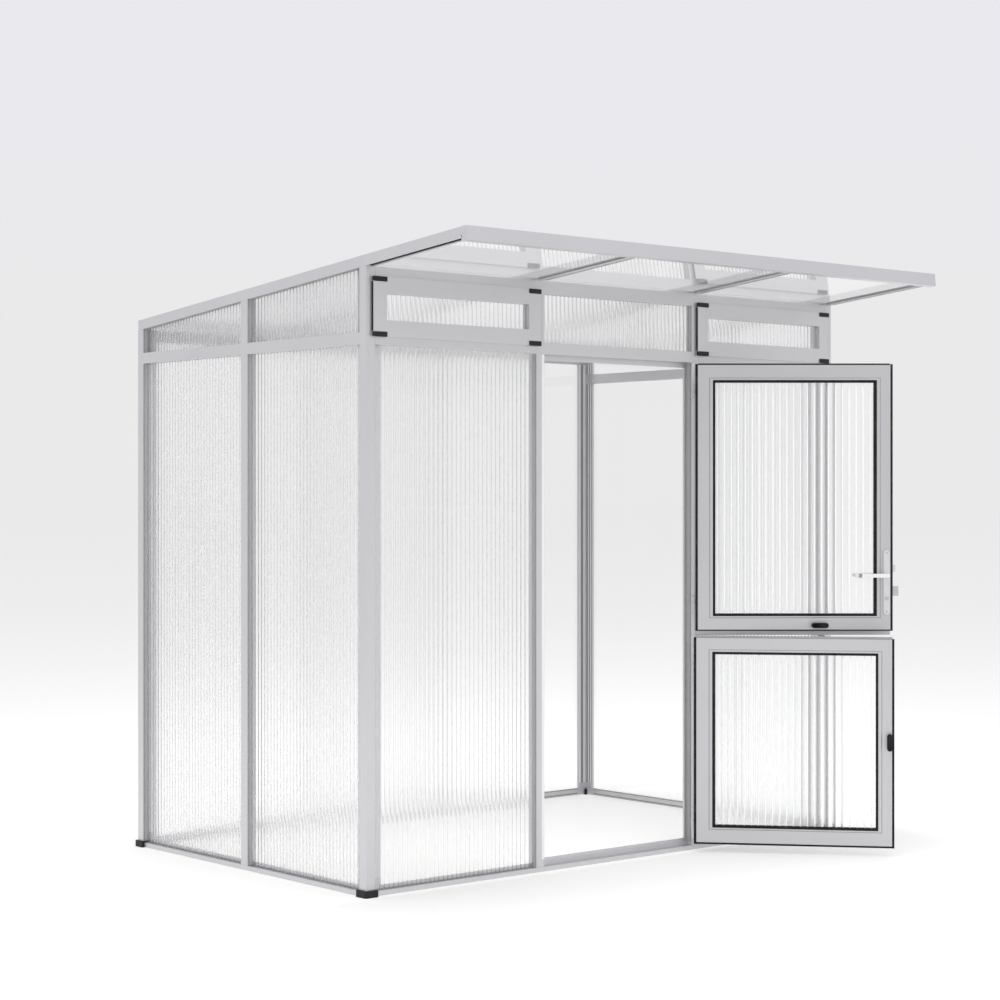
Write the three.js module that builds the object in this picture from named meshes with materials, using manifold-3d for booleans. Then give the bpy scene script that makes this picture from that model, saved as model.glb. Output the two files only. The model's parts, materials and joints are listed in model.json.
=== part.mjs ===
// A lean-to greenhouse: ribbed and clear sheet walls in an aluminium frame, a clear canopy
// roof, two awning vents and a door in two leaves. Millimetres, +Z up. While it is built, X runs
// along the front from its left corner, Y from the front face to the rear, Z up from the ground.
import * as THREE from 'three';
import * as BufferGeometryUtils from 'three/addons/utils/BufferGeometryUtils.js';
import Module from 'manifold-3d';

const wasm = await Module();
wasm.setup();

// Driving dimensions of the whole house
const width = 2500;
const depth = 1550;
const frontHeight = 2296;
const roofFallHeight = 142;
const canopy = 560;
const doorwayWidth = 800;
const ventOpening = 185;

// Clearances
const fit = 0.3;
const overrun = 5;

// Frame bars
const post = 40;
const gablePost = 45;
const frameDepth = 40;
const lip = 17;
const bite = 6;
const wall = 4;
const transomHeight = 44;
const headerHeight = 50.5;
const eaveHeight = 45;
const cornerLeg = 44;
const sillHeight = 20;
const sillBack = 34;
const sillLift = 2;

// Sheets and glass
const sheet = 10;
const glass = 6;

// Roof bars
const rafterHeight = 40;
const paneDrop = 30;
const fasciaHeight = 50;
const fasciaDepth = 30;
const paneSetback = 5;

// Corner feet
const footSize = 57;
const footHeight = 25;
const footLip = 10;
const footRound = 8;
const spigotHeight = 30;
const arcSteps = 5;

// Door opening and its stops
const stopDepth = 31;
const stopReach = 12;
const thresholdHeight = 47;
const headStopDrop = 21;

// Door leaves
const leafThick = 28;
const leafSideGap = 8;
const leafHeadGap = 8;
const leafSillGap = 20;
const stile = 62;
const leafBite = 8;
const meetingLevel = 867;
const meetingGap = 29;
const coverStripDrop = 22;
const coverStripThick = 10;
const upperLeafOpenDegrees = 139.7;
const lowerLeafOpenDegrees = 130.8;

// Hinges of the door
const hingeOut = 10;
const knuckle = 7;
const pin = 3;
const hingeHeight = 48;
const hingeInset = 110;
const hingePlate = 36;
const hingePlateThick = 6;
const roundSteps = 24;

// Lever handle, long plates and lock
const leverLevel = 1115;
const leverBackset = 18;
const leverLength = 138;
const leverHeight = 16;
const leverThick = 11;
const leverReach = 42;
const leverReturn = 15;
const neck = 9;
const neckClearance = 1;
const plateWidth = 26;
const plateTop = 1218;
const plateBottom = 956;
const plateThick = 8;
const boltThick = 12;
const boltLength = 52;
const boltClearance = 0.6;
const latchLevel = 1143;
const latchHeight = 28;
const latchOut = 22;
const latchTravel = 18;
const deadLevel = 1052;
const deadHeight = 39;
const deadOut = 32;
const deadTravel = 30;
const pocketSpare = 4;

// Quarter-turn knobs with their cams
const knobLength = 69;
const knobWidth = 21;
const knobRise = 23;
const knobGripThick = 9;
const knobFoot = 9;
const knobFromHinge = 496;
const knobLevel = 914;
const lowerKnobEdge = 11;
const lowerKnobLevel = 455;
const camThick = 4;
const camWidth = 10;
const upperCam = 54;
const lowerCam = 34;
const camClearance = 1;

// Awning vents
const ventOverlap = 15;
const ventProud = 10;
const ventFace = 60;
const ventClearance = 4;
const ventBodyDepth = 22;
const ventPaneSetback = 8;
const ventPivotIn = 1;
const capLength = 62;
const capHeight = 18;
const capProud = 2;

// Sizes that follow from the ones above
const grooveBack = lip + sheet + 2 * fit;
const grooveFloor = bite + fit;
const sheetFront = lip + fit;
const halfDepth = frameDepth / 2;
const slopeRatio = roofFallHeight / depth;
const slope = Math.atan(slopeRatio);
const headerLevel = roofAbove(0, rafterHeight) - fit - headerHeight;
const transomTop = headerLevel - ventOpening;
const transomBottom = transomTop - transomHeight;
const transomLevel = (transomTop + transomBottom) / 2;
const sideBay = (width - doorwayWidth - 4 * post) / 2;
const doorPostLeft = post + sideBay;
const doorLeft = doorPostLeft + post;
const doorRight = doorLeft + doorwayWidth;
const gableMid = depth / 2;
const rearMid = width / 2;
const eaveTop = roofAbove(depth, rafterHeight) - fit;
const eaveBottom = eaveTop - eaveHeight;

// Height of a plane that lies a given drop under the roof's top face
function roofAbove(y, drop) {
  return frontHeight - y * slopeRatio - drop / Math.cos(slope);
}

// Materials
const aluminium = { color: 0xc9c9ce, roughness: 0.38, metalness: 0.85 };
const blackPlastic = { color: 0x17171a, roughness: 0.55, metalness: 0 };
const ribbedSheet = {
  color: 0xf2f5f6, roughness: 0.12, metalness: 0, transparent: true, opacity: 0.35,
};
const clearPane = {
  color: 0xf6f9fa, roughness: 0.05, metalness: 0, transparent: true, opacity: 0.25,
};
const satinWhiteMetal = { color: 0xe4e4e8, roughness: 0.3, metalness: 0.8 };
const steel = { color: 0xa9abb0, roughness: 0.35, metalness: 0.95 };

// Solid geometry

function welded(geometry) {
  const bare = geometry.clone();
  bare.deleteAttribute('normal');
  bare.deleteAttribute('uv');
  return BufferGeometryUtils.mergeVertices(bare);
}

function solidOf(geometry) {
  const merged = welded(geometry);
  return new wasm.Manifold(new wasm.Mesh({
    numProp: 3,
    vertProperties: new Float32Array(merged.attributes.position.array),
    triVerts: new Uint32Array(merged.index.array),
  }));
}

function geometryOf(solid) {
  const mesh = solid.getMesh();
  const geometry = new THREE.BufferGeometry();
  geometry.setAttribute('position', new THREE.BufferAttribute(mesh.vertProperties, 3));
  geometry.setIndex(new THREE.BufferAttribute(mesh.triVerts, 1));
  return geometry;
}

// Joins extra geometries to a first one, then takes others away
function carved(base, extras, cuts) {
  let solid = solidOf(base);
  for (const extra of extras) solid = solid.add(solidOf(extra));
  for (const cut of cuts) solid = solid.subtract(solidOf(cut));
  return geometryOf(solid);
}

function block(x0, x1, y0, y1, z0, z1) {
  const geometry = new THREE.BoxGeometry(x1 - x0, y1 - y0, z1 - z0);
  return geometry.translate((x0 + x1) / 2, (y0 + y1) / 2, (z0 + z1) / 2);
}

// Points in the order that an outline or a hole runs, whichever way they were mirrored
function wound(points, clockwise) {
  const path = points.map(([u, v]) => new THREE.Vector2(u, v));
  return THREE.ShapeUtils.isClockWise(path) === clockwise ? path : path.reverse();
}

function outline(points, holes = []) {
  const shape = new THREE.Shape(wound(points, false));
  shape.holes = holes.map((hole) => new THREE.Path(wound(hole, true)));
  return shape;
}

function rectangle(u0, u1, v0, v1) {
  return [[u0, v0], [u1, v0], [u1, v1], [u0, v1]];
}

function extruded(shape, length) {
  return new THREE.ExtrudeGeometry(shape, { depth: length, bevelEnabled: false, curveSegments: arcSteps });
}

// A section given in (y, z), run along X
function alongX(shape, x0, x1) {
  const turn = new THREE.Matrix4().makeBasis(
    new THREE.Vector3(0, 1, 0), new THREE.Vector3(0, 0, 1), new THREE.Vector3(1, 0, 0));
  return extruded(shape, x1 - x0).applyMatrix4(turn).translate(x0, 0, 0);
}

// A section given in (x, z), run along Y
function alongY(shape, y0, y1) {
  const turn = new THREE.Matrix4().makeBasis(
    new THREE.Vector3(1, 0, 0), new THREE.Vector3(0, 0, 1), new THREE.Vector3(0, -1, 0));
  return extruded(shape, y1 - y0).applyMatrix4(turn).translate(0, y1, 0);
}

// A section given in (x, y), run along Z
function alongZ(shape, z0, z1) {
  return extruded(shape, z1 - z0).translate(0, 0, z0);
}

function cylinderZ(x, y, z0, z1, radius) {
  const geometry = new THREE.CylinderGeometry(radius, radius, z1 - z0, roundSteps);
  return geometry.rotateX(Math.PI / 2).translate(x, y, (z0 + z1) / 2);
}

function cylinderY(x, y0, y1, z, radius) {
  const geometry = new THREE.CylinderGeometry(radius, radius, y1 - y0, roundSteps);
  return geometry.translate(x, (y0 + y1) / 2, z);
}

function mesh(name, geometry, look) {
  const flat = geometry.index ? geometry.toNonIndexed() : geometry;
  const part = new THREE.Mesh(flat, new THREE.MeshStandardMaterial(look));
  part.geometry.computeVertexNormals();
  part.name = name;
  return part;
}

// Mirrors a coordinate measured from a house edge when the piece is on the far side
function fromEdge(value, size, far) {
  return far ? size - value : value;
}

// Everything over the roof bars' underside, to trim the wall tops
function roofTrim() {
  const reach = 2 * (depth + canopy);
  const trim = block(-overrun, width + overrun, -reach, reach, 0, reach);
  trim.rotateX(-slope);
  return trim.translate(0, 0, roofAbove(0, rafterHeight) - fit);
}

// Corner feet

function roundedSquare(low, high, radius) {
  const shape = new THREE.Shape();
  shape.moveTo(low + radius, low);
  shape.lineTo(high, low);
  shape.lineTo(high, high);
  shape.lineTo(low, high);
  shape.lineTo(low, low + radius);
  shape.absarc(low + radius, low + radius, radius, Math.PI, Math.PI * 1.5, false);
  return shape;
}

function foot(farX, farY) {
  const high = footSize - footLip;
  const boot = alongZ(roundedSquare(-footLip, high, footRound), 0, footHeight);
  const core = [wall + fit, post - grooveFloor - wall - fit];
  const spigot = block(core[0], core[1], core[0], core[1], footHeight - overrun, footHeight + spigotHeight);
  const slotStart = post - grooveFloor;
  const floor = sillHeight - grooveFloor;
  const slotX = block(slotStart, high + overrun, lip, grooveBack, floor, footHeight + overrun);
  const slotY = block(lip, grooveBack, slotStart, high + overrun, floor, footHeight + overrun);
  const geometry = carved(boot, [spigot], [slotX, slotY]);
  return mirrored(geometry, farX, farY);
}

function mirrored(geometry, farX, farY) {
  const flip = new THREE.Matrix4().makeScale(farX ? -1 : 1, farY ? -1 : 1, 1);
  const shifted = geometry.clone().applyMatrix4(flip);
  if (farX !== farY) flipFaces(shifted);
  return shifted.translate(farX ? width : 0, farY ? depth : 0, 0);
}

function flipFaces(geometry) {
  const index = geometry.index.array;
  for (let i = 0; i < index.length; i += 3) {
    [index[i], index[i + 1]] = [index[i + 1], index[i]];
  }
}

// Posts

// Heights between which a wall's inner legs run, clear of the bars that cross them
function legStretches(crossings) {
  const stretches = [];
  let start = sillBack + fit;
  for (const [low, high] of crossings) {
    stretches.push([start, low - fit]);
    start = high + fit;
  }
  return stretches;
}

function cornerPost(farX, farY) {
  const inner = post - grooveFloor;
  const section = [
    [0, 0], [post, 0], [post, lip], [inner, lip], [inner, grooveBack], [post, grooveBack],
    [post, post], [grooveBack, post], [grooveBack, inner], [lip, inner], [lip, post], [0, post],
  ];
  const bore = rectangle(wall, inner - wall, wall, inner - wall);
  const base = alongZ(outline(section, [bore]), footHeight + fit, frontHeight);
  const wallX = farY ? [[eaveBottom, frontHeight]] : [[transomBottom, transomTop], [headerLevel, frontHeight]];
  const wallY = [[transomBottom, transomTop]];
  const gableTop = roofAbove(farY ? depth : post + cornerLeg, rafterHeight);
  const reach = post + cornerLeg;
  const legsX = legStretches(wallX).map(([low, high]) => block(inner, reach, grooveBack, post, low, high));
  const stretchesY = legStretches([...wallY, [gableTop, frontHeight]]);
  const legsY = stretchesY.map(([low, high]) => block(grooveBack, post, inner, reach, low, high));
  const geometry = mirrored(carved(base, [...legsX, ...legsY], []), farX, farY);
  return carved(geometry, [], [roofTrim()]);
}

// Section of an intermediate post in (across, inward), with a groove at each side that asks for it
function postSection(low, high, grooveLow, grooveHigh) {
  const right = grooveHigh
    ? [[high, lip], [high - grooveFloor, lip], [high - grooveFloor, grooveBack], [high, grooveBack]] : [];
  const left = grooveLow
    ? [[low, grooveBack], [low + grooveFloor, grooveBack], [low + grooveFloor, lip], [low, lip]] : [];
  return [[low, 0], [high, 0], ...right, [high, frameDepth], [low, frameDepth], ...left];
}

function postBore(low, high) {
  const side = grooveFloor + wall;
  return rectangle(low + side, high - side, wall, frameDepth - wall);
}

// The inner half of a post stands on the sill's taller back
function sillSeat(low, high) {
  const seat = [low - overrun, high + overrun];
  return block(seat[0], seat[1], grooveBack - fit, frameDepth + overrun, 0, sillBack + fit);
}

function doorPost(right) {
  const low = right ? doorRight : doorPostLeft;
  const high = low + post;
  const shape = outline(postSection(low, high, !right, right), [postBore(low, high)]);
  const top = headerLevel - fit;
  const base = alongZ(shape, sillHeight + fit, top);
  const upper = upperGroove(low, high, right);
  const stopX = right ? [low - stopReach, low + fit] : [high - fit, high + stopReach];
  const stopZ = [thresholdHeight + fit, transomBottom - headStopDrop - fit];
  const stop = block(stopX[0], stopX[1], stopDepth, frameDepth, stopZ[0], stopZ[1]);
  const halving = block(low - overrun, high + overrun, halfDepth, frameDepth + overrun,
    transomBottom - fit, transomTop + fit);
  const cuts = [upper, sillSeat(low, high), halving, ...(right ? [] : strikePockets(high))];
  return carved(base, [stop], cuts);
}

// Above the transom the door side of a post is grooved too, for the sheet over the door
function upperGroove(low, high, right) {
  const x = right ? [low - overrun, low + grooveFloor] : [high - grooveFloor, high + overrun];
  return block(x[0], x[1], lip, grooveBack, transomTop - grooveFloor, headerLevel);
}

// Pockets that take the latch, the dead bolt and the lower knob's cam when the leaves are shut
function strikePockets(face) {
  const middle = leafThick / 2;
  const pockets = [
    [latchLevel, latchHeight, latchOut, boltThick],
    [deadLevel, deadHeight, deadOut, boltThick],
  ].map(([level, height, out, thick]) => {
    const half = [thick / 2 + boltClearance, height / 2 + boltClearance];
    const end = face - (out - leafSideGap) - pocketSpare;
    return block(end, face + overrun, middle - half[0], middle + half[0], level - half[1], level + half[1]);
  });
  const cam = [camThick / 2 + camClearance, lowerCam + camClearance, camWidth / 2 + camClearance];
  const end = face + leafSideGap + lowerKnobEdge - lowerCam - pocketSpare;
  pockets.push(block(end, face + overrun, middle - cam[0], middle + cam[0],
    lowerKnobLevel - cam[1], lowerKnobLevel + cam[2]));
  return pockets;
}

function gablePostMesh(far) {
  const low = gableMid - gablePost / 2;
  const high = gableMid + gablePost / 2;
  const turned = (points) => points.map(([across, inward]) => [fromEdge(inward, width, far), across]);
  const shape = outline(turned(postSection(low, high, true, true)), [turned(postBore(low, high))]);
  const base = alongZ(shape, sillHeight + fit, frontHeight);
  const inward = (from, to, z0, z1) => {
    const x = [fromEdge(from, width, far), fromEdge(to, width, far)].sort((a, b) => a - b);
    return block(x[0], x[1], low - overrun, high + overrun, z0, z1);
  };
  const seat = inward(grooveBack - fit, frameDepth + overrun, 0, sillBack + fit);
  const halving = inward(halfDepth, frameDepth + overrun, transomBottom - fit, transomTop + fit);
  return carved(base, [], [seat, halving, roofTrim()]);
}

function rearPost() {
  const low = rearMid - post / 2;
  const high = rearMid + post / 2;
  const turned = (points) => points.map(([across, inward]) => [across, depth - inward]);
  const shape = outline(turned(postSection(low, high, true, true)), [turned(postBore(low, high))]);
  const seat = sillSeat(low, high).rotateZ(Math.PI).translate(width, depth, 0);
  return carved(alongZ(shape, sillHeight + fit, eaveBottom - fit), [], [seat]);
}

// Sills, from one foot to the next

function sillSection() {
  return [
    [0, sillLift], [frameDepth, sillLift], [frameDepth, sillBack], [grooveBack, sillBack],
    [grooveBack, sillHeight - grooveFloor], [lip, sillHeight - grooveFloor], [lip, sillHeight], [0, sillHeight],
  ];
}

function frontSill() {
  const start = footSize - footLip + fit;
  const base = alongX(outline(sillSection()), start, width - start);
  const door = [doorLeft + fit, doorRight - fit];
  const infill = block(door[0], door[1], lip - fit, stopDepth, sillLift, sillHeight);
  const stop = block(door[0], door[1], stopDepth, frameDepth, sillLift, thresholdHeight);
  return carved(base, [infill, stop], []);
}

function rearSill() {
  const start = footSize - footLip + fit;
  const turned = sillSection().map(([inward, z]) => [depth - inward, z]);
  return alongX(outline(turned), start, width - start);
}

function gableSill(far) {
  const start = footSize - footLip + fit;
  const turned = sillSection().map(([inward, z]) => [fromEdge(inward, width, far), z]);
  return alongY(outline(turned), start, depth - start);
}

// Transoms, halved into the posts that cross them

function transomSection() {
  const groove = transomHeight / 2 - grooveFloor;
  const half = transomHeight / 2;
  const lower = [[0, -half], [lip, -half], [lip, -groove], [grooveBack, -groove], [grooveBack, -half]];
  const upper = lower.map(([inward, z]) => [inward, -z]).reverse();
  return [...lower, [frameDepth, -half], [frameDepth, half], ...upper];
}

function transomShape(place) {
  const side = transomHeight / 2 - grooveFloor - wall;
  const bore = rectangle(wall, frameDepth - wall, -side, side);
  return outline(transomSection().map(place), [bore.map(place)]);
}

function frontTransom() {
  const shape = transomShape(([inward, z]) => [inward, transomLevel + z]);
  const base = alongX(shape, post + fit, width - post - fit);
  const door = [doorLeft + fit, doorRight - fit];
  const stop = block(door[0], door[1], stopDepth, frameDepth,
    transomBottom - headStopDrop, transomBottom + overrun);
  const halvings = [doorPostLeft, doorRight].map((low) => block(low - fit, low + post + fit,
    -overrun, halfDepth + fit, transomBottom - overrun, transomTop + overrun));
  return carved(base, [stop], halvings);
}

function gableTransom(far) {
  const shape = transomShape(([inward, z]) => [fromEdge(inward, width, far), transomLevel + z]);
  const base = alongY(shape, post + fit, depth - post - fit);
  const x = [fromEdge(-overrun, width, far), fromEdge(halfDepth + fit, width, far)].sort((a, b) => a - b);
  const half = gablePost / 2 + fit;
  const halving = block(x[0], x[1], gableMid - half, gableMid + half,
    transomBottom - overrun, transomTop + overrun);
  return carved(base, [], [halving]);
}

// The bars under the roof at the front and at the rear, grooved below for the sheets

function headBar(bottom, y) {
  const top = (inward) => roofAbove(y(inward), rafterHeight) - fit;
  const place = ([inward, z]) => [y(inward), z];
  const groove = bottom + grooveFloor;
  const section = [
    [0, bottom], [lip, bottom], [lip, groove], [grooveBack, groove], [grooveBack, bottom],
    [frameDepth, bottom], [frameDepth, top(frameDepth)], [0, top(0)],
  ];
  const boreTop = Math.min(top(0), top(frameDepth)) - wall;
  const bore = rectangle(wall, frameDepth - wall, groove + wall, boreTop);
  return alongX(outline(section.map(place), [bore.map(place)]), post + fit, width - post - fit);
}

// Roof, built in its own tilted frame: Y runs down the slope and Z out of it,
// from the roof's top face above the front wall

const roofFront = -canopy / Math.cos(slope);
const roofRear = depth / Math.cos(slope);
const paneGroove = [-paneDrop - glass - 2 * fit, -paneDrop];

function rafterBore(low, high) {
  return rectangle(low + wall, high - wall, -paneDrop + wall, -wall);
}

function vergeRafter(far) {
  const x = (value) => fromEdge(value, width, far);
  const inner = post - grooveFloor;
  const section = [
    [0, 0], [post, 0], [post, paneGroove[1]], [inner, paneGroove[1]], [inner, paneGroove[0]],
    [post, paneGroove[0]], [post, -rafterHeight], [grooveBack, -rafterHeight],
    [grooveBack, -rafterHeight + grooveFloor], [lip, -rafterHeight + grooveFloor],
    [lip, -rafterHeight], [0, -rafterHeight],
  ];
  const place = ([u, v]) => [x(u), v];
  const shape = outline(section.map(place), [rafterBore(0, post).map(place)]);
  return alongY(shape, roofFront + fasciaDepth + fit, roofRear);
}

function midRafter(low) {
  const high = low + post;
  const section = [
    [low, 0], [high, 0], [high, paneGroove[1]], [high - grooveFloor, paneGroove[1]],
    [high - grooveFloor, paneGroove[0]], [high, paneGroove[0]], [high, -rafterHeight],
    [low, -rafterHeight], [low, paneGroove[0]], [low + grooveFloor, paneGroove[0]],
    [low + grooveFloor, paneGroove[1]], [low, paneGroove[1]],
  ];
  return alongY(outline(section, [rafterBore(low, high)]), roofFront + fasciaDepth + fit, roofRear);
}

function fascia() {
  const back = roofFront + fasciaDepth;
  const floor = back - grooveFloor;
  const section = [
    [roofFront, 0], [back, 0], [back, paneGroove[1]], [floor, paneGroove[1]], [floor, paneGroove[0]],
    [back, paneGroove[0]], [back, -fasciaHeight], [roofFront, -fasciaHeight],
  ];
  const bore = rectangle(roofFront + wall, back - wall, -paneDrop + wall, -wall);
  return alongX(outline(section, [bore]), 0, width);
}

function roofPane(low, high) {
  const front = roofFront + fasciaDepth - bite;
  return block(low - bite, high + bite, front, roofRear - paneSetback,
    paneGroove[0] + fit, paneGroove[1] - fit);
}

function roof() {
  const group = new THREE.Group();
  group.position.z = frontHeight;
  group.rotation.x = -slope;
  group.add(mesh('left_verge_rafter', vergeRafter(false), aluminium));
  group.add(mesh('right_verge_rafter', vergeRafter(true), aluminium));
  group.add(mesh('left_mid_rafter', midRafter(doorPostLeft), aluminium));
  group.add(mesh('right_mid_rafter', midRafter(doorRight), aluminium));
  group.add(mesh('canopy_fascia', fascia(), aluminium));
  group.add(mesh('left_roof_pane', roofPane(post, doorPostLeft), clearPane));
  group.add(mesh('middle_roof_pane', roofPane(doorLeft, doorRight), clearPane));
  group.add(mesh('right_roof_pane', roofPane(doorRight + post, width - post), clearPane));
  return group;
}

// Wall sheets

function frontSheet(low, high, bottom, top) {
  return block(low - bite, high + bite, sheetFront, sheetFront + sheet, bottom - bite, top + bite);
}

function rearSheet(low, high) {
  return block(low - bite, high + bite, depth - sheetFront - sheet, depth - sheetFront,
    sillHeight - bite, eaveBottom + bite);
}

function gableX(far) {
  return [fromEdge(sheetFront, width, far), fromEdge(sheetFront + sheet, width, far)].sort((a, b) => a - b);
}

function lowerGableSheet(far, low, high) {
  const x = gableX(far);
  return block(x[0], x[1], low - bite, high + bite, sillHeight - bite, transomBottom + bite);
}

function upperGableSheet(far, low, high) {
  const x = gableX(far);
  const y = [low - bite, high + bite];
  const top = (at) => roofAbove(at, rafterHeight) + bite - fit;
  const shape = outline([[y[0], transomTop - bite], [y[1], transomTop - bite], [y[1], top(y[1])], [y[0], top(y[0])]]);
  return alongX(shape, x[0], x[1]);
}

// Awning vents: a raised sash with a glazed middle, hung at its top edge

const ventPivotY = -ventPivotIn;
const ventPivotZ = headerLevel + ventOverlap;

function ventSash(low, high) {
  const outer = [low - ventOverlap, high + ventOverlap, transomTop - ventOverlap, headerLevel + ventOverlap];
  const body = [low + ventClearance, high - ventClearance, transomTop + ventClearance, headerLevel - ventClearance];
  const open = [outer[0] + ventFace, outer[1] - ventFace, outer[2] + ventFace, outer[3] - ventFace];
  const flange = block(outer[0], outer[1], -ventProud, -fit, outer[2], outer[3]);
  const inside = block(body[0], body[1], -ventProud / 2, ventBodyDepth, body[2], body[3]);
  const caps = [];
  for (const x of [[outer[0], outer[0] + capLength], [outer[1] - capLength, outer[1]]]) {
    for (const z of [[outer[2], outer[2] + capHeight], [outer[3] - capHeight, outer[3]]]) {
      caps.push(block(x[0], x[1], -ventProud - capProud, -ventProud / 2, z[0], z[1]));
    }
  }
  const opening = block(open[0], open[1], -ventProud - overrun, ventBodyDepth + overrun, open[2], open[3]);
  const rebate = block(open[0] - grooveFloor, open[1] + grooveFloor,
    ventPaneSetback, ventPaneSetback + glass + 2 * fit, open[2] - grooveFloor, open[3] + grooveFloor);
  return carved(flange, [inside, ...caps], [opening, rebate]);
}

function ventPane(low, high) {
  const inset = ventFace - ventOverlap - bite;
  return block(low + inset, high - inset, ventPaneSetback + fit, ventPaneSetback + fit + glass,
    transomTop + inset, headerLevel - inset);
}

function vent(side, low, high) {
  const group = new THREE.Group();
  group.add(mesh(`${side}_vent_sash`, ventSash(low, high), aluminium));
  group.add(mesh(`${side}_vent_pane`, ventPane(low, high), ribbedSheet));
  return group;
}

// Door leaves, shaped shut in their doorway and then swung open about the hinge line

const hingeX = doorRight;
const hingeY = -hingeOut;
const leafLeft = doorLeft + leafSideGap;
const leafRight = doorRight - leafSideGap;
const leafMiddle = leafThick / 2;
const upperLeaf = { bottom: meetingLevel + meetingGap, top: transomBottom - leafHeadGap };
const lowerLeaf = { bottom: sillHeight + leafSillGap, top: meetingLevel };
const leverX = leafLeft + leverBackset;
const knobX = doorRight - leafSideGap - knobFromHinge;
const lowerKnobX = leafLeft + lowerKnobEdge;

function hingeLevels(leaf) {
  return [leaf.top - hingeInset, leaf.bottom + hingeInset];
}

// A third of each hinge's height is the leaf's own knuckle, the rest is the post's
function leafKnuckle(level) {
  const half = hingeHeight / 6 - fit;
  const strap = block(hingeX - hingePlate, hingeX, -hingePlateThick, overrun, level - half, level + half);
  return carved(strap, [cylinderZ(hingeX, hingeY, level - half, level + half, knuckle)], [
    block(leafRight, hingeX + overrun, -pin / 2, 2 * overrun, level - hingeHeight, level + hingeHeight),
    cylinderZ(hingeX, hingeY, level - hingeHeight, level + hingeHeight, pin + fit),
  ]);
}

function postHinge(level) {
  const half = hingeHeight / 2;
  const third = hingeHeight / 6;
  const plate = block(hingeX, hingeX + hingePlate, -hingePlateThick, -fit, level - half, level + half);
  const barrel = cylinderZ(hingeX, hingeY, level - half, level + half, knuckle);
  const gap = block(hingeX - 2 * knuckle, hingeX + knuckle + fit, hingeY - 2 * knuckle, 0,
    level - third, level + third);
  const cut = carved(plate, [barrel], [gap]);
  return carved(cut, [cylinderZ(hingeX, hingeY, level - half, level + half, pin)], []);
}

function leafFrame(leaf, extras, cuts) {
  const ring = outline(rectangle(leafLeft, leafRight, leaf.bottom, leaf.top),
    [rectangle(leafLeft + stile, leafRight - stile, leaf.bottom + stile, leaf.top - stile)]);
  const base = extruded(ring, leafThick).applyMatrix4(new THREE.Matrix4().makeBasis(
    new THREE.Vector3(1, 0, 0), new THREE.Vector3(0, 0, 1), new THREE.Vector3(0, -1, 0)));
  base.translate(0, leafThick, 0);
  const inset = stile - leafBite - fit;
  const rebate = block(leafLeft + inset, leafRight - inset, leafMiddle - sheet / 2 - fit,
    leafMiddle + sheet / 2 + fit, leaf.bottom + inset, leaf.top - inset);
  const knuckles = hingeLevels(leaf).map(leafKnuckle);
  return carved(base, [...knuckles, ...extras], [rebate, ...cuts]);
}

function leafSheet(leaf) {
  const inset = stile - leafBite;
  return block(leafLeft + inset, leafRight - inset, leafMiddle - sheet / 2, leafMiddle + sheet / 2,
    leaf.bottom + inset, leaf.top - inset);
}

function boltPocket(level, height, out, travel) {
  const half = [boltThick / 2 + boltClearance, height / 2 + boltClearance];
  const end = leafLeft - out + boltLength + travel + boltClearance;
  return block(leafLeft - overrun, end, leafMiddle - half[0], leafMiddle + half[0], level - half[1], level + half[1]);
}

// Slots for a cam that sweeps a quarter turn, out through one edge of the leaf
function upperCamSlot(bottom, top) {
  const half = camThick / 2 + camClearance;
  const side = camWidth / 2 + camClearance;
  return block(knobX - side, knobX + upperCam + camClearance, leafMiddle - half, leafMiddle + half, bottom, top);
}

function lowerCamSlot() {
  const half = camThick / 2 + camClearance;
  const side = camWidth / 2 + camClearance;
  return block(leafLeft - overrun, lowerKnobX + side, leafMiddle - half, leafMiddle + half,
    lowerKnobLevel - lowerCam - camClearance, lowerKnobLevel + side);
}

function spindleHole(x, level, radius) {
  return cylinderY(x, leafMiddle, leafThick + 2 * plateThick, level, radius);
}

// A long plate with round ends, under the lever
function longPlate(y0, y1) {
  const round = plateWidth / 2;
  const shape = new THREE.Shape();
  shape.absarc(leverX, plateTop - round, round, 0, Math.PI, false);
  shape.absarc(leverX, plateBottom + round, round, Math.PI, 2 * Math.PI, false);
  return alongY(shape, y0, y1);
}

function upperLeafFrame() {
  const strip = block(leafLeft, leafRight, 0, coverStripThick,
    upperLeaf.bottom - coverStripDrop, upperLeaf.bottom + overrun);
  const plates = [longPlate(-plateThick, overrun), longPlate(leafThick - overrun, leafThick + plateThick)];
  return leafFrame(upperLeaf, [strip, ...plates], [
    boltPocket(latchLevel, latchHeight, latchOut, latchTravel),
    boltPocket(deadLevel, deadHeight, deadOut, deadTravel),
    cylinderY(leverX, -2 * plateThick, leafThick + 2 * plateThick, leverLevel, neck + neckClearance),
    upperCamSlot(upperLeaf.bottom - overrun, knobLevel + camWidth / 2 + camClearance),
    spindleHole(knobX, knobLevel, knobFoot / 2 + camClearance),
  ]);
}

function lowerLeafFrame() {
  return leafFrame(lowerLeaf, [], [
    lowerCamSlot(),
    upperCamSlot(knobLevel - upperCam - 2 * camClearance, lowerLeaf.top + overrun),
    spindleHole(lowerKnobX, lowerKnobLevel, knobFoot / 2 + camClearance),
  ]);
}

// An arm that is round over its spindle, with its far end turned back to the leaf
function leverArm(face, side) {
  const half = leverHeight / 2;
  const shape = new THREE.Shape();
  shape.absarc(leverX, 0, half, Math.PI / 2, Math.PI * 1.5, false);
  shape.lineTo(leverX + leverLength, -half);
  shape.lineTo(leverX + leverLength, half);
  const inner = face - side * leverThick;
  const y = [inner, face].sort((a, b) => a - b);
  const arm = alongY(shape, y[0], y[1]).translate(0, 0, leverLevel);
  const turned = [inner - side * leverReturn, face].sort((a, b) => a - b);
  const end = block(leverX + leverLength - leverThick, leverX + leverLength, turned[0], turned[1],
    leverLevel - half, leverLevel + half);
  return carved(arm, [end], []);
}

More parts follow.
